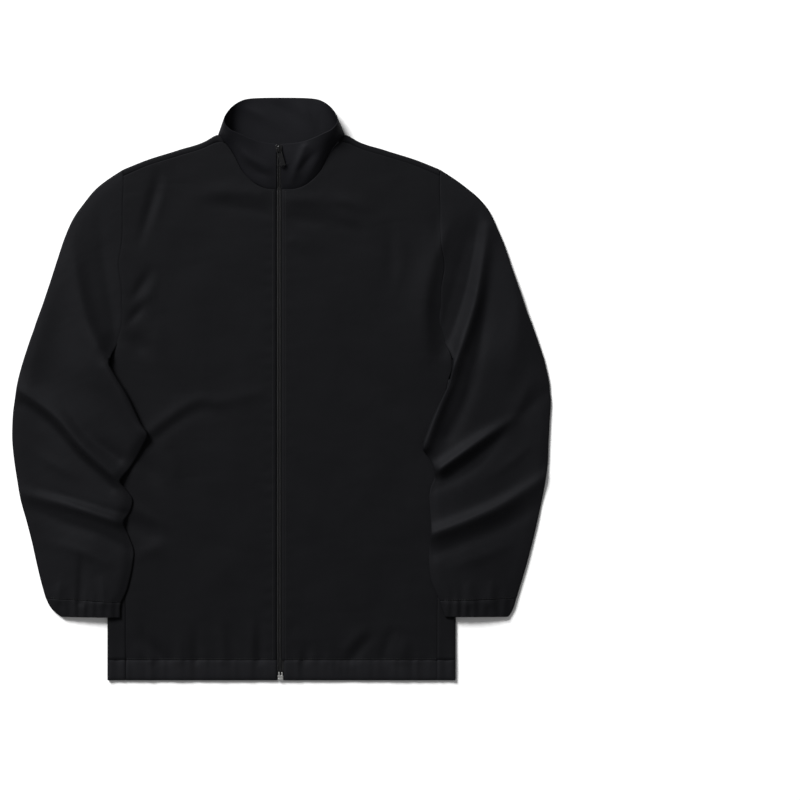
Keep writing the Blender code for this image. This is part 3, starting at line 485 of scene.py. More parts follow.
SIDE_TOP = 12 * MM  # where the body's side fold runs in under the armpit
SHOULDER_TURN = 8 * MM  # from the shoulder's fold forward to its seam
SHOULDER_UNDER = 1 * MM  # how far the back goes in under the front's shoulder edge
SHOULDER_FROM = 0.36  # where the shoulder starts, as a share of the way to the armhole
TURN = np.radians(np.linspace(-90, 90, 11))[1:]  # round a fold, from under it to its top
BACK_HOLLOWS = table(
    FOLD,
    (((-150, 250), (-60, 214), (40, 200)), (0.3, 0.9, 0.2), 9, 12),
    (((170, 238), (120, 214), (60, 204)), (0.3, 0.9, 0.2), 12, 9),
    (((-172, 170), (-160, 100), (-168, 40)), (0.2, 0.9, 0.3), 8, 11),
    (((170, 150), (162, 96), (172, 30)), (0.2, 0.9, 0.3), 11, 8),
    (((-190, -120), (-120, -150), (-40, -160)), (0.3, 0.8, 0.2), 9, 12),
    (((180, -180), (110, -210), (40, -205)), (0.3, 0.9, 0.2), 12, 9),
    (((-120, -346), (-118, -310), (-122, -280)), (0.9, 0.6, 0.1), 7, 7),
    (((-40, -346), (-44, -306), (-36, -262)), (0.9, 0.6, 0.1), 7, 7),
    (((66, -346), (62, -318), (70, -270)), (0.9, 0.6, 0.1), 7, 7),
    (((138, -346), (142, -312), (134, -284)), (0.9, 0.6, 0.1), 7, 7),
)


def side_turn(y, thick, forward, wall):
    """Outer and inner face of cloth that comes round the body's side fold, thick from its underside to its
    top, and then lies forward on points of its own."""
    radius = thick / 2
    centre = np.array([HALF_BODY - radius, y, radius])
    arc = points_at(HALF_BODY - radius * (1 - np.cos(TURN)), y, radius * (1 + np.sin(TURN)))
    inside = centre + (arc - centre) * (1 - wall / radius)
    return np.concatenate([arc, forward]), np.concatenate([inside, lowered(forward, wall)])


def both_sides(middle, right):
    """A row of points from its middle and its right end, which is mirrored at the left."""
    return np.concatenate([(right * (-1, 1, 1))[::-1], middle, right])


def back_points():
    """The back's outer and inner face, in rows from the hem to the shoulder seams."""
    bottom = HEM_SEAM + SEAM_GAP / 2
    roll = FLAT_THICK / 2
    half = grid_shares(44, PANEL_WIDTH)
    shares = np.concatenate([-half[:0:-1], half])
    low_rows = np.linspace(HEM_SEAM, SIDE_TOP, 84)
    high_rows = np.linspace(SIDE_TOP, BODY_EDGE[-1].y * MM, 62)[1:]
    top_steps = 8
    blank = np.full((len(TURN) + top_steps, 3), np.nan)
    outer_rows, inner_rows = [], []
    for edge_y in np.concatenate([low_rows, high_rows]):
        has_turn = edge_y <= SIDE_TOP
        if has_turn:
            edge_x = HALF_BODY - float(body_top(HALF_BODY, edge_y)) / 2
        else:
            edge_x = side_edge("back", edge_y)
        edge_top = upper_edge("back", edge_x) - roll
        at_top = edge_y == high_rows[-1]
        rise = 1.0 if at_top else min(1.0, (edge_y - HEM_SEAM) / (edge_top - HEM_SEAM))
        x = shares * edge_x
        top = upper_edge("back", x)
        top -= roll * smoothstep(SHOULDER_FROM - 0.06, SHOULDER_FROM, np.abs(shares))
        y = bottom + rise * (top - bottom)
        flat = points_at(x, y, fold_height(x, y, BACK_HOLLOWS))
        turn, turn_inside = blank, blank
        if has_turn:
            seam = side_edge("front", edge_y) + SEAM_GAP
            thick = float(body_top(HALF_BODY, y[-1]))
            x_top = np.linspace(HALF_BODY - thick / 2, seam, top_steps + 1)[1:]
            forward = points_at(x_top, y[-1], body_top(x_top, y[-1]) + seam_turn(x_top - seam))
            turn, turn_inside = side_turn(y[-1], thick, forward, CLOTH_WALL)
        outer_rows.append(both_sides(flat, turn))
        inner_rows.append(both_sides(lowered(flat, -CLOTH_WALL), turn_inside))

    # Over each shoulder the last flat row turns up and forward, and ends under the front's edge.
    off_shoulder = np.abs(shares) < SHOULDER_FROM
    reach = roll - SHOULDER_TURN - SHOULDER_UNDER
    steps = [(roll * math.cos(a), (roll - CLOTH_WALL) * math.cos(a), math.sin(a), 0.0) for a in TURN]
    steps += [(reach / 2, reach / 2, 1.0, 0.0), (reach, reach, 1.0, SEAM_TUCK)]
    for forward, inside_forward, lift, tuck in steps:
        row, inside = flat.copy(), flat.copy()
        row[:, 1] += forward
        inside[:, 1] += inside_forward
        thick = body_top(row[:, 0], row[:, 1])
        row[:, 2] = thick / 2 * (1 + lift) - tuck
        inside[:, 2] = thick / 2 + (thick / 2 - CLOTH_WALL) * lift - tuck
        row[off_shoulder], inside[off_shoulder] = np.nan, np.nan
        outer_rows.append(both_sides(row, blank))
        inner_rows.append(both_sides(inside, blank))
    return np.array(outer_rows), np.array(inner_rows)


piece = cloth_piece("back", *back_points(), shell_cloth("back_cloth", grain=0.02))
finished(piece, "back")

# ----------------------------------------
# Sleeves. Each is one panel sewn into a tube and set into the armhole, and a little longer than the arm, so
# that it lies in long soft folds down to the cuff. Its inner half lies on the body.
# ----------------------------------------

LAYER_GAP = 0.6 * MM  # from the body's top to what lies on it
FOLD_REACH = 3 * MM  # how far a sleeve's edge takes to round over
ARMHOLE_UNDER = 1.2  # how far a sleeve's edge goes in under the body's, in mm
PRESSED = 0.9 * MM  # how much flatter a sleeve is at its edges
PRESSED_ON_BODY = 1.7 * MM  # and how much more where it lies on the body
PRESSED_REACH = 8 * MM
# The sleeves' tones are lighter than the body's: painted light, for the light that their raised folds catch.
SLEEVE_PAINTED_LIGHT_TONES = ((0.0031, 0.0031, 0.0036), (0.0044, 0.0044, 0.0051))
SECTION = "outer_x outer_y inner_x inner_y"
SLEEVE_LEFT = table(
    SECTION,
    (-203, 281, None, 257), (-223, 268, None, 237), (-239, 255, None, 212), (-253, 238, None, 186),
    (-267, 218, None, 158), (-278, 193, None, 128), (-287, 166, None, 105), (-296, 138, None, 83),
    (-301, 123, None, 58), (-306, 108, -218.6, 37), (-310, 97, -218.5, 30), (-314, 86, -215, 23),
    (-318, 74, -209, 13), (-322, 63, -202, 2), (-326, 51, -194, -12), (-330, 39, -187, -27),
    (-333, 29, -179, -44), (-336, 18, -170, -59), (-338, 9, -177, -74), (-340, -2, -185, -88),
    (-342, -15, -195, -103), (-344, -30, -205, -118), (-345, -48, -198, -129), (-345, -66, -190.5, -141),
    (-343, -88, -193, -155), (-339, -115, -201, -171), (-334, -143, -195, -189), (-327, -168, -189, -206),
    (-320, -195, -190, -222), (-314, -222, -193, -239), (-308, -247, -198, -258), (-302, -268, -205, -273),
)
SLEEVE_RIGHT = table(
    SECTION,
    (203, 281, None, 257), (223, 268, None, 237), (239, 256, None, 212), (253, 244, None, 186),
    (266, 228, None, 158), (276, 207, None, 128), (286, 183, None, 105), (295, 156, None, 83),
    (301, 139, None, 58), (307, 122, 218.6, 37), (311, 110, 218.4, 29), (315, 98, 217, 20),
    (319, 88, 213.5, 6), (323, 77, 207, -8), (328, 63, 200, -22), (332, 51, 193, -37), (336, 39, 187, -52),
    (339, 27, 180, -75), (341, 18, 186, -84), (343, 8, 192, -94), (344, -4, 195, -105), (345, -18, 195, -116),
    (344, -34, 191, -126), (343, -52, 189, -138), (342, -72, 190, -153), (341, -96, 191, -171),
    (337, -125, 190, -189), (330, -159, 189, -209), (323, -190, 189, -230), (315, -221, 192, -246),
    (308, -245, 197, -259), (301, -268, 203, -271),
)
SLEEVE_FOLDS_LEFT = table(
    FOLD,
    (((-268, 190), (-259, 124), (-246, 79), (-228, 44), (-211, 15), (-197, -12), (-172, -58)),
     (1.0, 5.2, 7.2, 7.4, 7.6, 7.2, 5.4), 12, 23),  # long fold from the shoulder to the elbow's tip
    (((-292, 150), (-306, 90), (-318, 40), (-322, 4)), (0.6, 2.2, 2.6, 1.2), 22, 18),
    (((-338, 0), (-289, -35), (-253, -76), (-208, -116)), (3.0, 7.5, 8.0, 5.4), 16, 6),
    (((-276, -22), (-248, -60), (-208, -90)), (-1.0, -3.0, -3.6), 10, 10),
    (((-330, -20), (-289, -53), (-257, -90), (-217, -127)), (-1.2, -2.0, -2.4, -2.0), 7, 9),
    (((-312, -128), (-264, -142), (-226, -154), (-196, -161)), (-0.6, -2.0, -2.4, -1.8), 5, 5),
    (((-332, -134), (-264, -151), (-200, -172)), (1.5, 5.6, 4.8), 9, 7),
    (((-318, -154), (-277, -171), (-236, -184), (-191, -207)), (-0.8, -1.8, -2.0, -1.6), 7, 9),
    (((-300, -196), (-262, -206), (-222, -222)), (0.3, 1.3, 0.6), 8, 7),
    (((-316, -78), (-292, -96), (-262, -112)), (0.2, 1.2, 0.3), 9, 7),
    (((-256, -208), (-255, -236), (-257, -272)), (0.0, -2.2, -2.0), 5, 5),
    (((-232, -238), (-228, -256), (-226, -272)), (0.0, 1.3, 1.3), 6, 6),
    (((-282, -240), (-284, -256), (-285, -270)), (0.0, 1.3, 1.3), 6, 6),
)
SLEEVE_FOLDS_RIGHT = table(
    FOLD,
    (((264, 205), (252, 129), (240, 84), (223, 36), (208, -3), (182, -74)),
     (1.8, 6.6, 8.8, 9.2, 9.2, 7.4), 9, 8),  # long fold from the shoulder to the elbow's tip
    (((266, 160), (260, 96), (250, 36), (234, -18), (213, -60)), (-0.8, -2.0, -2.4, -2.6, -2.2), 9, 8),
    (((292, 190), (302, 120), (300, 60), (292, 16)), (0.8, 3.0, 3.6, 1.4), 20, 24),
    (((294, -40), (248, -70), (203, -102)), (2.5, 7.8, 8.6), 9, 8),
    (((338, -4), (295, -42), (248, -94), (199, -122)), (-0.8, -2.0, -3.4, -3.0), 10, 12),
    (((318, 10), (306, -20), (292, -48)), (0.5, 2.2, 0.6), 9, 12),
    (((338, -112), (284, -147), (235, -169), (194, -184)), (2.5, 6.8, 8.0, 7.0), 11, 8),
    (((330, -148), (284, -175), (240, -194), (199, -209)), (-0.8, -2.0, -2.2, -1.6), 9, 10),
    (((300, -196), (262, -212), (218, -228)), (0.3, 1.2, 0.5), 7, 8),
    (((320, -70), (296, -92), (262, -116)), (0.2, 1.2, 0.3), 7, 9),
    (((239, -244), (240, -258), (242, -274)), (0.0, 1.3, 1.3), 6, 6),
    (((268, -244), (268, -258), (266, -274)), (0.0, 1.3, 1.3), 6, 6),
)


def body_cover(x, y, beyond=38, above=38, below=20):
    """1 where a sleeve lies on the body and 0 where it lies on the surface, with a ramp beside the body."""
    beside = smoothstep(HALF_BODY + beyond * MM, HALF_BODY + 7 * MM, np.abs(x))
    return beside * smoothstep(above * MM, below * MM, y)


CUFF_TOP = -273 * MM


def cuff_gathers(x, y):
    """The folds that a cuff's elastic draws up in the sleeve, fading upwards from the cuff."""
    wave = uneven_wave(x, 2.05, 1.3, 19) * (0.7 + 0.3 * np.sin(x / MM / 11))
    return wave * np.exp(-np.maximum(y - CUFF_TOP, 0) / (9 * MM))


def sleeve_faces(x, y, folds):
    """Heights of a sleeve's lower and upper face. The lower layer stays down."""
    under = body_top(x, y) + LAYER_GAP
    rest = body_cover(x, y) * under
    past_edge = np.abs(x) - side_edge("front", y)
    joined_here = smoothstep(26 * MM, 0, past_edge) * smoothstep(24 * MM, 58 * MM, y)
    carried = body_cover(x, y, beyond=95, above=95, below=18) * under * (1 - joined_here)
    by_armhole = smoothstep(30 * MM, 70 * MM, y)
    thick = FLAT_THICK + by_armhole * fold_height(x, y, BODY_FOLDS) + fold_height(x, y, folds)
    thick = soft_floor(thick + drift(x + 0.4, y) + 0.45 * MM * cuff_gathers(x, y), LEAST_THICK)
    return rest, carried + thick


def tube_points(sections, steps, folds, wall, upper_count, lower_count):
    """Outer and inner face of a flattened tube of cloth, in rings from its first section to its last. Down
    to the armpit the ring is open, and its two ends lie on the armhole."""
    side = 1 if sections[0].outer_x > 0 else -1
    outer = smooth_path([(row.outer_x, row.outer_y) for row in sections], steps) * MM
    closed = [(row.inner_x, row.inner_y) for row in sections if row.inner_x is not None]
    open_count = len(sections) - len(closed)
    inner = smooth_path(closed, steps) * MM
    ends = {"front": inner, "back": inner}
    if open_count:
        seam_y = smooth_path([(row.inner_y, 0.0) for row in sections[: open_count + 1]], steps)[:-1, 0]
        to_armpit = smoothstep(open_count - 1, open_count, np.arange(len(seam_y)) / steps)
        for layer in ends:
            edge = smooth_value(BODY_EDGE, "y", layer, seam_y) - ARMHOLE_UNDER
            edge += (abs(closed[0][0]) - edge) * to_armpit
            ends[layer] = np.concatenate([np.stack([side * edge, seam_y], axis=-1) * MM, inner])
    is_open = (np.arange(len(outer)) < open_count * steps)[:, None]
    turn = np.radians(np.linspace(90, -90, 13))[1:-1]
    half = len(turn) // 2 + 1
    results = []
    for inset in (0.0, wall):
        reach = FOLD_REACH - (FOLD_REACH - inset) * np.cos(turn)
        by_end = np.where(is_open, np.nan, reach[::-1])
        layers = []
        for layer, count in (("front", upper_count), ("back", lower_count)):
            width = np.linalg.norm(outer - ends[layer], axis=1)[:, None]
            start = np.where(is_open, 0.0, FOLD_REACH / width)
            share = start + (1 - FOLD_REACH / width - start) * np.linspace(0, 1, count + 1)
            layers.append((ends[layer], width, share))
        (end_up, width_up, share_up), (end_low, width_low, share_low) = layers
        parts = [
            (end_up, width_up, share_up, np.ones(upper_count + 1)),
            (end_up, width_up, 1 - reach[:half] / width_up, np.sin(turn[:half])),
            (end_low, width_low, 1 - reach[half:] / width_low, np.sin(turn[half:])),
            (end_low, width_low, share_low[:, ::-1], -np.ones(lower_count + 1)),
            (end_low, width_low, by_end[:, :half] / width_low, np.sin(turn[::-1][:half])),
            (end_up, width_up, by_end[:, half:] / width_up, np.sin(turn[::-1][half:])),
        ]
        rings = []
        for end, width, share, lift in parts:
            x = end[:, :1] + share * (outer[:, :1] - end[:, :1])
            y = end[:, 1:] + share * (outer[:, 1:] - end[:, 1:])
            down, top = sleeve_faces(x, y, folds)
            from_fold = np.minimum(1 - share, np.where(is_open, 1.0, share)) * width
            pressed = (PRESSED + PRESSED_ON_BODY * body_cover(x, y)) * near(from_fold, PRESSED_REACH)
            top = down + soft_floor(top - down - pressed, 2 * wall + 0.3 * MM)
            z = (down + top) / 2 + ((top - down) / 2 - inset) * lift
            if open_count:
                by_seam = smoothstep(1.6 * MM, 0.2 * MM, np.abs(x) - side_edge("front", y))
                tuck = SEAM_TUCK * by_seam * smoothstep(36 * MM, 52 * MM, y)
                z -= tuck * np.sign(lift) * (np.abs(lift) > 0.99)
            rings.append(points_at(x, y, z))
        results.append(np.concatenate(rings, axis=1))
    return results


sleeve_tops = []
for side, name, sections, folds in (
    (-1, "sleeve_left", SLEEVE_LEFT, SLEEVE_FOLDS_LEFT),
    (1, "sleeve_right", SLEEVE_RIGHT, SLEEVE_FOLDS_RIGHT),
):
    faces = tube_points(sections, 6, folds, CLOTH_WALL, 56, 28)
    sleeve_tops.append(faces[0])
    cloth = shell_cloth(name + "_cloth", grain=side * 0.45, tones=SLEEVE_PAINTED_LIGHT_TONES)
    piece = cloth_piece(name, *faces, cloth, ring=True)
    finished(piece, name)

# ----------------------------------------
# Cuffs. A doubled strip of the shell cloth with a flat elastic inside, which draws it into short gathers.
# ----------------------------------------

CASING_SINK = 0.5 * MM  # how far a casing's ends sink at their seams
CUFF_LEFT = table(
    SECTION,
    (-301.6, -268.6, -205, -273.6), (-297, -278, -206, -280), (-291, -285, -206, -286),
    (-283, -291, -206, -292),
)
CUFF_RIGHT = table(
    SECTION,
    (300.6, -268.6, 203, -271.6), (298, -278, 205, -280), (295, -285, 207, -286), (291, -291, 209, -291),
)
for side, name, sections, folds in (
    (-1, "cuff_left", CUFF_LEFT, SLEEVE_FOLDS_LEFT),
    (1, "cuff_right", CUFF_RIGHT, SLEEVE_FOLDS_RIGHT),
):
    faces = tube_points(sections, 6, folds, CASING_WALL, 100, 40)
    for face in faces:
        high = smoothstep(0.55, 0.9, (face[..., 2] - face[..., 2].min()) / np.ptp(face[..., 2]))
        along = np.linspace(0, 1, face.shape[0])[:, None]
        gathers = 0.2 * MM * cuff_gathers(face[..., 0], CUFF_TOP) * np.sin(math.pi * along)
        face[..., 2] += high * (gathers - CASING_SINK * near(along, 0.1))
    cloth = shell_cloth(name + "_cloth", grain=side * 0.2, rumple=0.0007)
    piece = cloth_piece(name, *faces, cloth, ring=True)
    finished(piece, name)

# ----------------------------------------
# Hem casing. A doubled strip of shell cloth round the hem with a flat elastic inside, sewn on in one stretch
# under each panel. The elastic draws it into uneven gathers, except beside the zip.
# ----------------------------------------

BOX_X = -1.3 * MM  # centre of the zip's retainer box, which stands between the casing's two ends
BOX_ROOM = 4.8 * MM  # from there to either end
SIDE_SEAM = BODY_EDGE[0].front * MM
HEM_ROWS = np.array([0, 0.4, 1, 2, 3.5, 5.5, 8, 11, 14, 17, 20, 22.5, 24, 24.8, 25.3])  # mm down
# The casing's tones are lighter than the body's: painted light, for the light that its sloping face catches.
HEM_PAINTED_LIGHT_TONES = ((0.0052, 0.0052, 0.006), (0.0071, 0.0071, 0.0082))


def casing_gathers(x, y):
    """The casing's gathers: strong at its seam and softer towards its lower fold."""
    wave = uneven_wave(x, 2.7, 1.6, 27) * (0.65 + 0.35 * np.sin(x / MM / 33 + 2))
    second = 0.35 * uneven_wave(x, 1.6, 1.1, 13)
    down = smoothstep(HEM_SEAM, HEM_END, y)
    clear = smoothstep(16 * MM, 28 * MM, np.abs(x - ZIP_X))
    return (wave * (1 - 0.25 * down) + second * (1 - 0.6 * down)) * clear


def casing_top(x, y):
    """Height of the casing's upper face. It is cushioned between its seam and its lower fold."""
    down = HEM_SEAM - y
    at_top = body_top(x, np.full_like(x, HEM_SEAM))
    base = at_top + 0.6 * (FLAT_THICK - at_top) * smoothstep(0, 9 * MM, down)
    cushion = 0.35 * MM * np.sin(math.pi * np.clip(down / (HEM_SEAM - HEM_END), 0, 1))
    at_seam = 0.35 * MM * near(down, 1.6 * MM)
    at_fold = 0.9 * MM * near(y - HEM_END, 1.6 * MM)
    return base + 0.3 * MM * casing_gathers(x, y) + cushion - at_seam - at_fold


hem_cloth = shell_cloth("hem_cloth", rumple=0.0008, tones=HEM_PAINTED_LIGHT_TONES)
hem_y = HEM_SEAM - SEAM_GAP / 2 - HEM_ROWS * MM
for side, name in ((-1, "hem_front_left"), (1, "hem_front_right")):
    inner_x, outer_x = BOX_X + side * BOX_ROOM, side * SIDE_SEAM
    x = inner_x + (outer_x - inner_x) * grid_shares(130, 0.195, edge=(0.4, 0.9, 1.6))[None, :]
    x, y = np.broadcast_arrays(x, hem_y[:, None])
    z = casing_top(x, y) - 0.7 * MM * near(x - inner_x, 1.1 * MM)
    z -= CASING_SINK * near(x - outer_x, 1.2 * MM)
    points = points_at(x, y, z)
    piece = cloth_piece(name, points, lowered(points, CASING_WALL), hem_cloth)
    finished(piece, name)


def hem_back_points():
    """The back's stretch of the casing: flat underneath, and round both sides to its seams."""
    thick = float(body_top(HALF_BODY, HEM_SEAM))
    x_flat = np.linspace(-1, 1, 121) * (HALF_BODY - thick / 2)
    x_top = np.linspace(HALF_BODY - thick / 2, SIDE_SEAM + SEAM_GAP, 13)[1:]
    outer_rows, inner_rows = [], []
    for y in hem_y:
        z = 0.3 * MM * (1 + casing_gathers(x_flat, y)) * smoothstep(HEM_END, HEM_END + 6 * MM, y)
        flat = points_at(x_flat, y, np.clip(z, 0, None))
        forward = points_at(x_top, y, casing_top(x_top, y))
        forward[-1, 2] -= CASING_SINK
        turn, turn_inside = side_turn(y, thick, forward, CASING_WALL)
        outer_rows.append(both_sides(flat, turn))
        inner_rows.append(both_sides(lowered(flat, -CASING_WALL), turn_inside))
    return np.array(outer_rows), np.array(inner_rows)


piece = cloth_piece("hem_back", *hem_back_points(), hem_cloth)
finished(piece, "hem_back")

# ----------------------------------------
# Collar. A doubled stand collar, sewn round the neck and closed by the top of the zip. Its front stands up
# a little, and its back lies down with its inner side up.
# ----------------------------------------

COLLAR_WALL = 1.3 * MM
COLLAR_STEPS = 9
# The collar's tones are lighter and bluer than the body's: painted light with a painted cool sheen, for the
# light that its upturned inner side catches.
COLLAR_PAINTED_LIGHT_TONES = ((0.0046, 0.0046, 0.0056), (0.0062, 0.0062, 0.0076))
COLLAR = table(
    "seam_x seam_y seam_z top_x top_y top_z",
    (-3.4, 255.5, None, -3.4, 312.0, 15.0), (-19.8, 257.0, None, -13, 313.0, 15.3),
    (-37.6, 266.2, None, -27, 315.0, 16.0), (-50.5, 280.4, None, -40, 319.0, 18.0),
    (-62.4, 303.4, None, -54, 325.0, 20.5), (-73.5, 317.0, None, -66, 331.0, 22.5),
    (-81, 325.5, 3.2, -73, 342.0, 22.0), (-78, 323.4, 0.0, -66, 357.0, 14.0),
    (-66, 315.4, 0.0, -54, 367.0, 7.0), (-40, 312.6, 0.0, -38, 371.5, 3.0), (0, 312.5, 0.0, 0, 372.5, 2.0),
)
COLLAR_FRONT_FOLDS = table(
    FOLD,
    (((30, 308), (22, 288), (12, 264)), (1.6, 2.0, 0.8), 6, 5),
    (((24, 280), (34, 292), (44, 302)), (-1.0, -1.4, -0.5), 4, 5),
    (((-52, 306), (-38, 294), (-18, 282)), (0.5, 1.8, 0.8), 5, 6),
    (((-40, 284), (-28, 276), (-12, 272)), (-0.5, -1.2, -0.4), 5, 5),
    (((50, 300), (40, 282), (30, 266)), (0.4, 1.0, 0.3), 5, 5),
)
COLLAR_BACK_FOLDS = table(
    FOLD,
    (((-52, 362), (-28, 352), (-6, 336)), (0.6, 1.5, 0.4), 5, 7),
    (((-14, 368), (6, 356), (22, 338)), (-0.3, -1.1, -0.3), 6, 6),
    (((48, 352), (49, 342), (50, 330)), (-0.5, -0.9, -0.5), 1.2, 1.2),  # the seam in the inner side
    (((20, 366), (32, 352), (40, 334)), (0.4, 1.3, 0.4), 5, 6),
)


def collar_stations(steps):
    """The collar's neck seam and its top edge, from the zip's left edge round the back to its right."""
    seam, top = [], []
    for row in COLLAR:
        on_front = float(body_top(row.seam_x * MM, row.seam_y * MM)) / MM
        seam.append((row.seam_x, row.seam_y, on_front if row.seam_z is None else row.seam_z))
        top.append((row.top_x, row.top_y, row.top_z))
    curves = []
    for line in (seam, top):
        line = np.array(line, float)
        line = np.concatenate([line, line[-2::-1] * (-1, 1, 1)])
        line[[0, -1], 0] += ZIP_X / MM
        curves.append(smooth_path(line, steps) * MM)
    return curves


def collar_rise(low_z, high_z, high_y, share):
    """Height of the collar's outer face, share of the way from its seam to its top."""
    on_front = smoothstep(4 * MM, 12 * MM, high_z) * smoothstep(345 * MM, 330 * MM, high_y)
    return np.maximum(0.0, low_z + share * (high_z - low_z) + 2.5 * MM * on_front * np.sin(math.pi * share))


def collar_points():
    """The collar's face that is seen and the one behind it, in rows from the seam to the top edge."""
    seam, top = collar_stations(COLLAR_STEPS)
    share = grid_shares(26, 0.057, edge=(0.5, 1.2, 2.2))[:, None]
    points = seam + share[..., None] * (top - seam)
    points[..., 2] = collar_rise(seam[:, 2], top[:, 2], top[:, 1], share)
    normal = np.cross(np.gradient(points, axis=1), np.gradient(points, axis=0))
    normal /= np.linalg.norm(normal, axis=-1, keepdims=True)
    out = normal * np.sign(normal[5, 5, 2])
    half = points.shape[1] // 2
    from_zip = half - np.abs(np.arange(points.shape[1]) - half)
    on_back = smoothstep(5.5 * COLLAR_STEPS, 7.5 * COLLAR_STEPS, from_zip)
    x, y = points[..., 0], points[..., 1]
    raised = fold_height(x, y, COLLAR_FRONT_FOLDS) * (1 - on_back)
    raised -= fold_height(x, y, COLLAR_BACK_FOLDS) * on_back
    fade = smoothstep(0, 0.12, share) * (1 - 0.55 * smoothstep(0.86, 1, share))
    points = points + out * (raised * fade)[..., None]
    points[..., 2] -= 0.45 * MM * near(share, 0.03) * (1 - on_back)
    inside = points - out * COLLAR_WALL
    lift = np.clip(-np.minimum(points[..., 2], inside[..., 2]), 0, None)
    points[..., 2] += lift
    inside[..., 2] += lift
    return points, inside


collar_cloth = shell_cloth("collar_cloth", grain=0.3, rumple=0.0008, tones=COLLAR_PAINTED_LIGHT_TONES)
piece = cloth_piece("collar", *collar_points(), collar_cloth)
finished(piece, "collar")

# ----------------------------------------
# Zip. Two woven tapes with a reversed nylon coil, so that its smooth ribbed back shows between the fronts'
# folded edges. They run from the hem to the collar's top and are sewn under the edges.
# ----------------------------------------

TAPE_WALL = 1.0 * MM
UNDER_FRONT = 1.55 * MM  # from a front's top to the tape under it
UNDER_COLLAR = 1.65 * MM
COIL_PITCH = 1.35 * MM
COIL_AWAY = 1.45 * MM  # from the zip's centre to the middle of the coil's raised edge
COIL_RISE = 0.68 * MM
SLIDER_FOOT = 296 * MM
PARTED = 1.2 * MM  # how far each tape moves aside in the slider
TAPE_SHAPE = table(
    "away rise",
    (0.16, 0.2), (0.35, 0.5), (0.8, 0.68), (1.5, 0.72), (2.2, 0.66), (2.6, 0.45), (2.85, 0.08), (3.6, 0.0),
    (8.0, 0.0), (14.0, 0.0),
)


def tape_top(x, y):
    """Height of a tape's upper face: just under the cloth that covers it."""
    seam, top = collar_stations(1)
    low, high = seam[0], top[0]
    share = (y - low[1]) / (high[1] - low[1])
    on_collar = collar_rise(low[2], high[2], high[1], share) - UNDER_COLLAR
    under_front = body_top(x, np.clip(y, HEM_SEAM, low[1])) - UNDER_FRONT
    under_front -= 0.3 * MM * smoothstep(HEM_SEAM + 12 * MM, HEM_SEAM + 4 * MM, y)
    return np.where(y > low[1], on_collar, under_front)


def tape_cloth():
    """Close-woven black tape with ribs across it and a soft shine."""
    material, tree, shader, place = new_material("zip_tape_weave", {"Specular IOR Level": 0.2})
    tone = add_node(tree, "ShaderNodeTexNoise", {"Vector": place, "Scale": 160.0})
    tones = ((0.0036, 0.0036, 0.004), (0.0068, 0.0068, 0.0074))
    shade_by(tree, shader, tone.outputs[0], tones, (0.36, 0.5))
    threads = add_node(tree, "ShaderNodeGroup", {"Vector": place, "Pitch": 0.0005}, node_tree=WEAVE)
    raise_by(tree, shader, threads.outputs["Height"], 0.00007)
    return material


def repeat_along():
    """Geometry nodes that set a small rounded bead again and again along curves, at an even spacing."""
    tree, given = new_tree(
        "repeat_along", "GeometryNodeTree",
        {"Geometry": "Geometry", "Spacing": "Float", "Bead Size": "Vector", "Material": "Material"},
        {"Geometry": "Geometry"},
    )
    curve, spacing, size, material = given.outputs[:4]
    points = add_node(tree, "GeometryNodeResampleCurve", {"Curve": curve, "Length": spacing}, mode="LENGTH")
    tangent = add_node(tree, "GeometryNodeInputTangent").outputs["Tangent"]
    align = add_node(tree, "FunctionNodeAlignRotationToVector", {"Vector": tangent}, axis="X")
    bead = add_node(tree, "GeometryNodeMeshUVSphere", {"Segments": 6, "Rings": 4, "Radius": 0.5})
    beads = add_node(tree, "GeometryNodeInstanceOnPoints", {
        "Points": points.outputs["Curve"],
        "Instance": bead.outputs["Mesh"],
        "Rotation": align.outputs["Rotation"],
        "Scale": size,
    })
    real = add_node(tree, "GeometryNodeRealizeInstances", {"Geometry": beads.outputs["Instances"]})
    finish = {"Geometry": real.outputs["Geometry"], "Material": material}
    finish = add_node(tree, "GeometryNodeSetMaterial", finish)
    add_node(tree, "NodeGroupOutput", {"Geometry": finish.outputs["Geometry"]})
    return tree


REPEAT = repeat_along()


def new_curve(name, lines, closed=False):
    """An object of a curve through the points of each line. Closed ones lie flat."""
    curve = bpy.data.curves.new(name, "CURVE")
    curve.dimensions = "2D" if closed else "3D"
    for line in lines:
        spline = curve.splines.new("POLY")
        spline.points.add(len(line) - 1)
        spline.use_cyclic_u = closed
        for point, place in zip(spline.points, line):
            point.co = Vector(place).to_3d().to_4d()
    return linked(name + "_maker", curve)


def made_mesh(maker):
    """The mesh that an object's curve and modifiers make. The object is then gone."""
    bpy.context.view_layer.update()
    mesh = bpy.data.meshes.new_from_object(maker.evaluated_get(bpy.context.evaluated_depsgraph_get()))
    bpy.data.objects.remove(maker)
    return mesh


def beads(name, lines, spacing, size, material):
    """A mesh of beads along lines of points. size is (along, across, up) in metres."""
    maker = new_curve(name, lines)
    nodes = maker.modifiers.new("beads", "NODES")
    nodes.node_group = REPEAT
    values = {"Spacing": spacing, "Bead Size": size, "Material": material}
    for item in REPEAT.interface.items_tree:
        if item.in_out == "INPUT" and item.name in values:
            nodes[item.identifier] = values[item.name]
    mesh = made_mesh(maker)
    mesh.name = name
    mesh.shade_smooth()
    return linked(name, mesh)


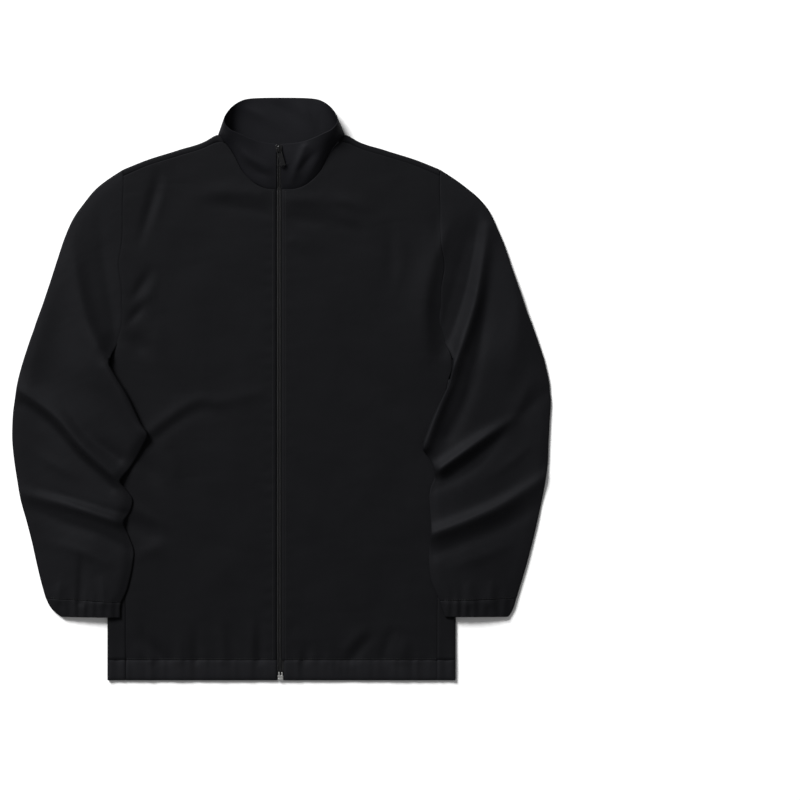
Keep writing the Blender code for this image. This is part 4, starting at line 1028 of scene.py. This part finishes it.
tape_weave = tape_cloth()
tape_away = np.array([column.away for column in TAPE_SHAPE]) * MM
tape_rise = np.array([column.rise for column in TAPE_SHAPE]) * MM
tape_y = np.concatenate([np.linspace(-362, 254, 420), np.linspace(255.6, 311.6, 44)])[:, None] * MM
for side, name in ((-1, "zip_tape_left"), (1, "zip_tape_right")):
    parted = PARTED * smoothstep(SLIDER_FOOT, SLIDER_FOOT + 7 * MM, tape_y)
    away = np.where(
        tape_away < 0.5 * MM,
        tape_away + parted,
        np.maximum(tape_away, tape_away[1] + parted * (tape_away < 2.5 * MM)),
    )
    x, y = np.broadcast_arrays(ZIP_X + side * away, tape_y)
    points = points_at(x, y, tape_top(x, y) + tape_rise)
    piece = cloth_piece(name, points, lowered(points, TAPE_WALL), tape_weave)
    finished(piece, name)
    rib_x = ZIP_X + side * COIL_AWAY
    rib_y = np.arange(-360.5, 296, COIL_PITCH / MM) * MM
    rib_z = tape_top(np.full_like(rib_y, rib_x), rib_y) + COIL_RISE
    lines = [[(rib_x - side * 0.1 * MM * k, py, pz) for k in (0, 1)] for py, pz in zip(rib_y, rib_z)]
    coil = beads(name.replace("tape", "coil"), lines, 0.01, (0.0022, 0.00095, 0.00038), tape_weave)
    finished(coil, name)

# ----------------------------------------
# Slider and pull tab. Die-cast and enamelled glossy black. The slider stands at the top of the closed zip,
# and its tab hangs from the bridge, turned a little to the right.
# ----------------------------------------


def enamel():
    """Glossy black enamel, a little worn and dusty."""
    material, tree, shader, place = new_material("slider_enamel", {"Specular IOR Level": 0.4})
    dust = add_node(tree, "ShaderNodeTexNoise", {"Vector": place, "Scale": 700.0, "Detail": 4.0}).outputs[0]
    shade_by(tree, shader, dust, ((0.003, 0.003, 0.0034), (0.006, 0.006, 0.0066)), (0.08, 0.17))
    raise_by(tree, shader, dust, 0.000008)
    return material


def rounded_outline(corners, radius, steps=5):
    """A closed outline through corners, each rounded by a radius."""
    points = []
    count = len(corners)
    for n in range(count):
        before, corner, after = (Vector(corners[(n + k) % count]) for k in (-1, 0, 1))
        start = corner + (before - corner).normalized() * radius
        end = corner + (after - corner).normalized() * radius
        for step in range(steps + 1):
            t = step / steps
            points.append((1 - t) ** 2 * start + 2 * t * (1 - t) * corner + t * t * end)
    return points


def even_outline(halves, radius):
    """A rounded outline that is the same on both sides, from half widths and places down its length."""
    width, top = halves[0]
    return rounded_outline([(-width, top), *halves, *((-w, y) for w, y in halves[:0:-1])], radius)


def plate(outlines, low, high, bevel):
    """A plate with rounded edges between two heights, from an outline and those of its holes. In mm."""
    maker = new_curve("plate", outlines, closed=True)
    curve = maker.data
    curve.fill_mode = "BOTH"
    curve.extrude = (high - low) / 2 - bevel
    curve.bevel_depth = bevel
    curve.bevel_resolution = 3
    curve.offset = -bevel
    mesh = made_mesh(maker)
    mesh.transform(Matrix.Translation((0, 0, (low + high) / 2)))
    return mesh


def joined(name, meshes, placed, material):
    """One piece from meshes in millimetres, moved to their place."""
    whole = bmesh.new()
    for mesh in meshes:
        whole.from_mesh(mesh)
    bmesh.ops.remove_doubles(whole, verts=whole.verts, dist=0.0005)
    bmesh.ops.recalc_face_normals(whole, faces=whole.faces)
    bmesh.ops.transform(whole, matrix=placed @ Matrix.Scale(MM, 4), verts=whole.verts)
    mesh = bpy.data.meshes.new(name)
    whole.to_mesh(mesh)
    whole.free()
    mesh.materials.append(material)
    mesh.shade_smooth()
    mesh.set_sharp_from_angle(angle=math.radians(50))
    return linked(name, mesh)


def bridge_mesh():
    """The slider's bridge: a flat bar that arches over the plate from end to end."""
    half_arch = [(-4.5, 1.5), (-4.35, 2.6), (-3.7, 4.2), (-2.2, 5.05)]
    path = smooth_path([*half_arch, (0, 5.2), *((-along, up) for along, up in half_arch[::-1])], 3)
    around = np.linspace(0, 2 * math.pi, 12, endpoint=False)
    section = [(1.05 * math.cos(a), 0.52 * math.sin(a)) for a in around]
    bar = bmesh.new()
    rings = []
    for n, (along, up) in enumerate(path):
        ahead = Vector(path[min(n + 1, len(path) - 1)]) - Vector(path[max(n - 1, 0)])
        ahead.normalize()
        rings.append([bar.verts.new((x, along - ahead[1] * z, up + ahead[0] * z)) for x, z in section])
    for first, second in zip(rings, rings[1:]):
        for i in range(len(first)):
            bar.faces.new((first[i - 1], first[i], second[i], second[i - 1]))
    bar.faces.new(rings[0])
    bar.faces.new(rings[-1][::-1])
    mesh = bpy.data.meshes.new("bridge")
    bar.to_mesh(mesh)
    bar.free()
    return mesh


SLIDER_Y = 306.3 * MM
SLIDER_HEIGHT = 5.85 * MM  # from its middle plane to the top of its solid
SLIDER_SLOPE = 0.022
HINGE_UP = 3.15 * MM  # from that plane to the tab's hinge
TAB_ASIDE = math.radians(14)
TAB_LIFT = math.radians(4)
slider_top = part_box("zip_slider")[1][2]
slider_base = Matrix.Translation((ZIP_X, SLIDER_Y, slider_top - SLIDER_HEIGHT))
slider_base = slider_base @ Matrix.Rotation(SLIDER_SLOPE, 4, "X")
black_enamel = enamel()
slider_parts = [
    plate([even_outline([(3.9, 5.3), (4.5, 1.5), (3.2, -5.3)], 1.5)], 0.35, 1.75, 0.45),  # upper plate
    plate([even_outline([(3.5, 4.8), (3.5, -4.8)], 1.5)], -4.3, -3.1, 0.3),  # lower plate
    plate([even_outline([(1.1, 4.8), (0.7, -0.4)], 0.5)], -3.3, 0.6, 0.1),  # the wedge between them
    bridge_mesh(),
]
finished(joined("slider", slider_parts, slider_base, black_enamel), "zip_slider")

tab_outline = even_outline([(2.9, 0.7), (3.5, -21.6), (2.4, -22.3)], 0.7)
tab_window = even_outline([(2.0, -0.7), (2.1, -5.7)], 0.7)
tab_parts = [plate([tab_outline, tab_window], -0.7, 0.7, 0.3)]
for rib_y in (-14.0, -17.6):
    tab_parts.append(plate([even_outline([(2.2, rib_y), (2.2, rib_y - 1.0)], 0.45)], -0.85, 0.85, 0.25))
tab_parts.append(plate([even_outline([(2.4, -8.2), (2.6, -12.4)], 0.8)], -0.78, 0.78, 0.2))  # raised panel
tab_turn = Matrix.Rotation(TAB_ASIDE, 4, "Z") @ Matrix.Rotation(TAB_LIFT, 4, "X")
tab_place = slider_base @ Matrix.Translation((0, 0, HINGE_UP)) @ tab_turn
finished(joined("pull_tab", tab_parts, tab_place, black_enamel), "zip_pull", body="tab")

# ----------------------------------------
# Retainer box and pin. Nickel-plated ends of the zip at the hem: the box is clamped on the right tape with
# its own pin, and the left tape's loose pin stands in it.
# ----------------------------------------


def nickel_plate():
    """Bright nickel with fine scuffs."""
    material, tree, shader, place = new_material("nickel_plate", {"Metallic": 1.0})
    stretched = add_node(tree, "ShaderNodeMapping", {"Vector": place, "Scale": (1.0, 0.12, 1.0)})
    scuffs = {"Vector": stretched.outputs["Vector"], "Scale": 2600.0, "Detail": 3.0}
    scuffs = add_node(tree, "ShaderNodeTexNoise", scuffs).outputs[0]
    shade_by(tree, shader, scuffs, ((0.5, 0.5, 0.49), (0.74, 0.74, 0.72)), (0.2, 0.38))
    raise_by(tree, shader, scuffs, 0.00002)
    return material


def block(x_span, y_span, z_span, radius, bevel):
    """A rounded block from one place to another on each axis. In mm."""
    (left, right), (low, high) = x_span, y_span
    corners = [(left, high), (right, high), (right, low), (left, low)]
    return plate([rounded_outline(corners, radius)], *z_span, bevel)


nickel = nickel_plate()
box_parts = [
    block((-4.9, 2.3), (-372.5, -369.75), (1.95, 4.9), radius=0.8, bevel=0.5),
    block((-4.9, 2.3), (-369.5, -366.5), (1.95, 4.9), radius=0.8, bevel=0.5),
    block((-4.6, 2.0), (-371.5, -367.5), (2.2, 4.5), radius=0.5, bevel=0.2),  # the groove between them
    block((-0.5, 1.7), (-367.4, -362.4), (1.95, 4.2), radius=0.7, bevel=0.5),  # its own pin
]
finished(joined("retainer_box", box_parts, Matrix(), nickel), "zip_box")
pin_parts = [block((-4.3, -2.1), (-366.3, -362.2), (1.95, 4.3), radius=0.8, bevel=0.5)]
finished(joined("insertion_pin", pin_parts, Matrix(), nickel), "zip_pin")

# ----------------------------------------
# Sewing. Black polyester thread: one row on each front beside the zip, one over the hem's casing and one
# above each cuff.
# ----------------------------------------


def sewing_thread():
    """Twisted thread with a slight shine."""
    material, tree, shader, place = new_material("sewing_thread", {"Specular IOR Level": 0.3})
    twist = add_node(tree, "ShaderNodeTexWave", {"Vector": place, "Scale": 900.0, "Distortion": 2.0})
    tones = ((0.004, 0.004, 0.0046), (0.009, 0.009, 0.01))
    shade_by(tree, shader, twist.outputs["Fac"], tones, (0.4, 0.6))
    return material


STITCH = 3.2 * MM
THREAD_UP = 0.05 * MM  # from the cloth to the middle of the thread
HEM_ROW_UP = 1.7 * MM  # from the hem's seam to the row over it
thread = sewing_thread()
zip_lines, hem_lines = [], []
for side in (-1, 1):
    y = np.linspace(HEM_SEAM + 3 * MM, 252 * MM, 600)
    x = np.full_like(y, ZIP_X + side * (ZIP_HALF + 5 * MM))
    zip_lines.append(points_at(x, y, body_top(x, y) + THREAD_UP))
    x = np.linspace(ZIP_X + side * 9 * MM, side * 197 * MM, 260)
    y = np.full_like(x, HEM_SEAM + HEM_ROW_UP)
    hem_lines.append(points_at(x, y, body_top(x, y) + seam_turn(y - HEM_SEAM) + THREAD_UP))
cuff_lines = [lowered((face[-1, 2:54] + face[-2, 2:54]) / 2, -THREAD_UP) for face in sleeve_tops]
for name, lines in (("stitches_zip", zip_lines), ("stitches_hem", hem_lines), ("stitches_cuffs", cuff_lines)):
    sewn = beads(name, lines, STITCH, (0.0026, 0.0005, 0.00035), thread)
    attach(sewn, "garment")

# ----------------------------------------
# Floor, light and camera. A pale table, one large soft light from the upper left and a pale room. The
# camera hangs straight over the garment.
# ----------------------------------------

FLOOR = [(-6, -6, -0.0004), (6, -6, -0.0004), (6, 6, -0.0004), (-6, 6, -0.0004)]
floor_mesh = bpy.data.meshes.new("floor")
floor_mesh.from_pydata(FLOOR, [], [(0, 1, 2, 3)])
paper = {"Base Color": (0.93, 0.93, 0.93, 1.0), "Roughness": 0.9, "Specular IOR Level": 0.1}
floor_mesh.materials.append(new_material("floor_paper", paper)[0])
linked("floor", floor_mesh)

LAMP_PLACE = Vector((-5.0, 6.6, 6.2))
light = bpy.data.lights.new("key", "AREA")
light.size = 4.0
light.energy = 1950
lamp = linked("key", light)
lamp.location = LAMP_PLACE
lamp.rotation_euler = (-LAMP_PLACE).to_track_quat("-Z", "Y").to_euler()
world = bpy.data.worlds.new("room")
world.use_nodes = True
world.node_tree.nodes["Background"].inputs["Color"].default_value = (1, 1, 1, 1)
world.node_tree.nodes["Background"].inputs["Strength"].default_value = 0.26
bpy.context.scene.world = world
bpy.context.scene.view_settings.view_transform = "Standard"

VIEW_CENTRE = (0.1517, -0.0141)
VIEW_WIDTH = 1.024  # what the picture spans at the garment
VIEW_HEIGHT = 3.2
camera = bpy.data.cameras.new("camera")
camera.sensor_width = 36
camera.lens = 36 * VIEW_HEIGHT / VIEW_WIDTH
camera.clip_end = 50
eye = linked("camera", camera)
eye.location = (*VIEW_CENTRE, VIEW_HEIGHT + 0.004)
bpy.context.scene.camera = eye
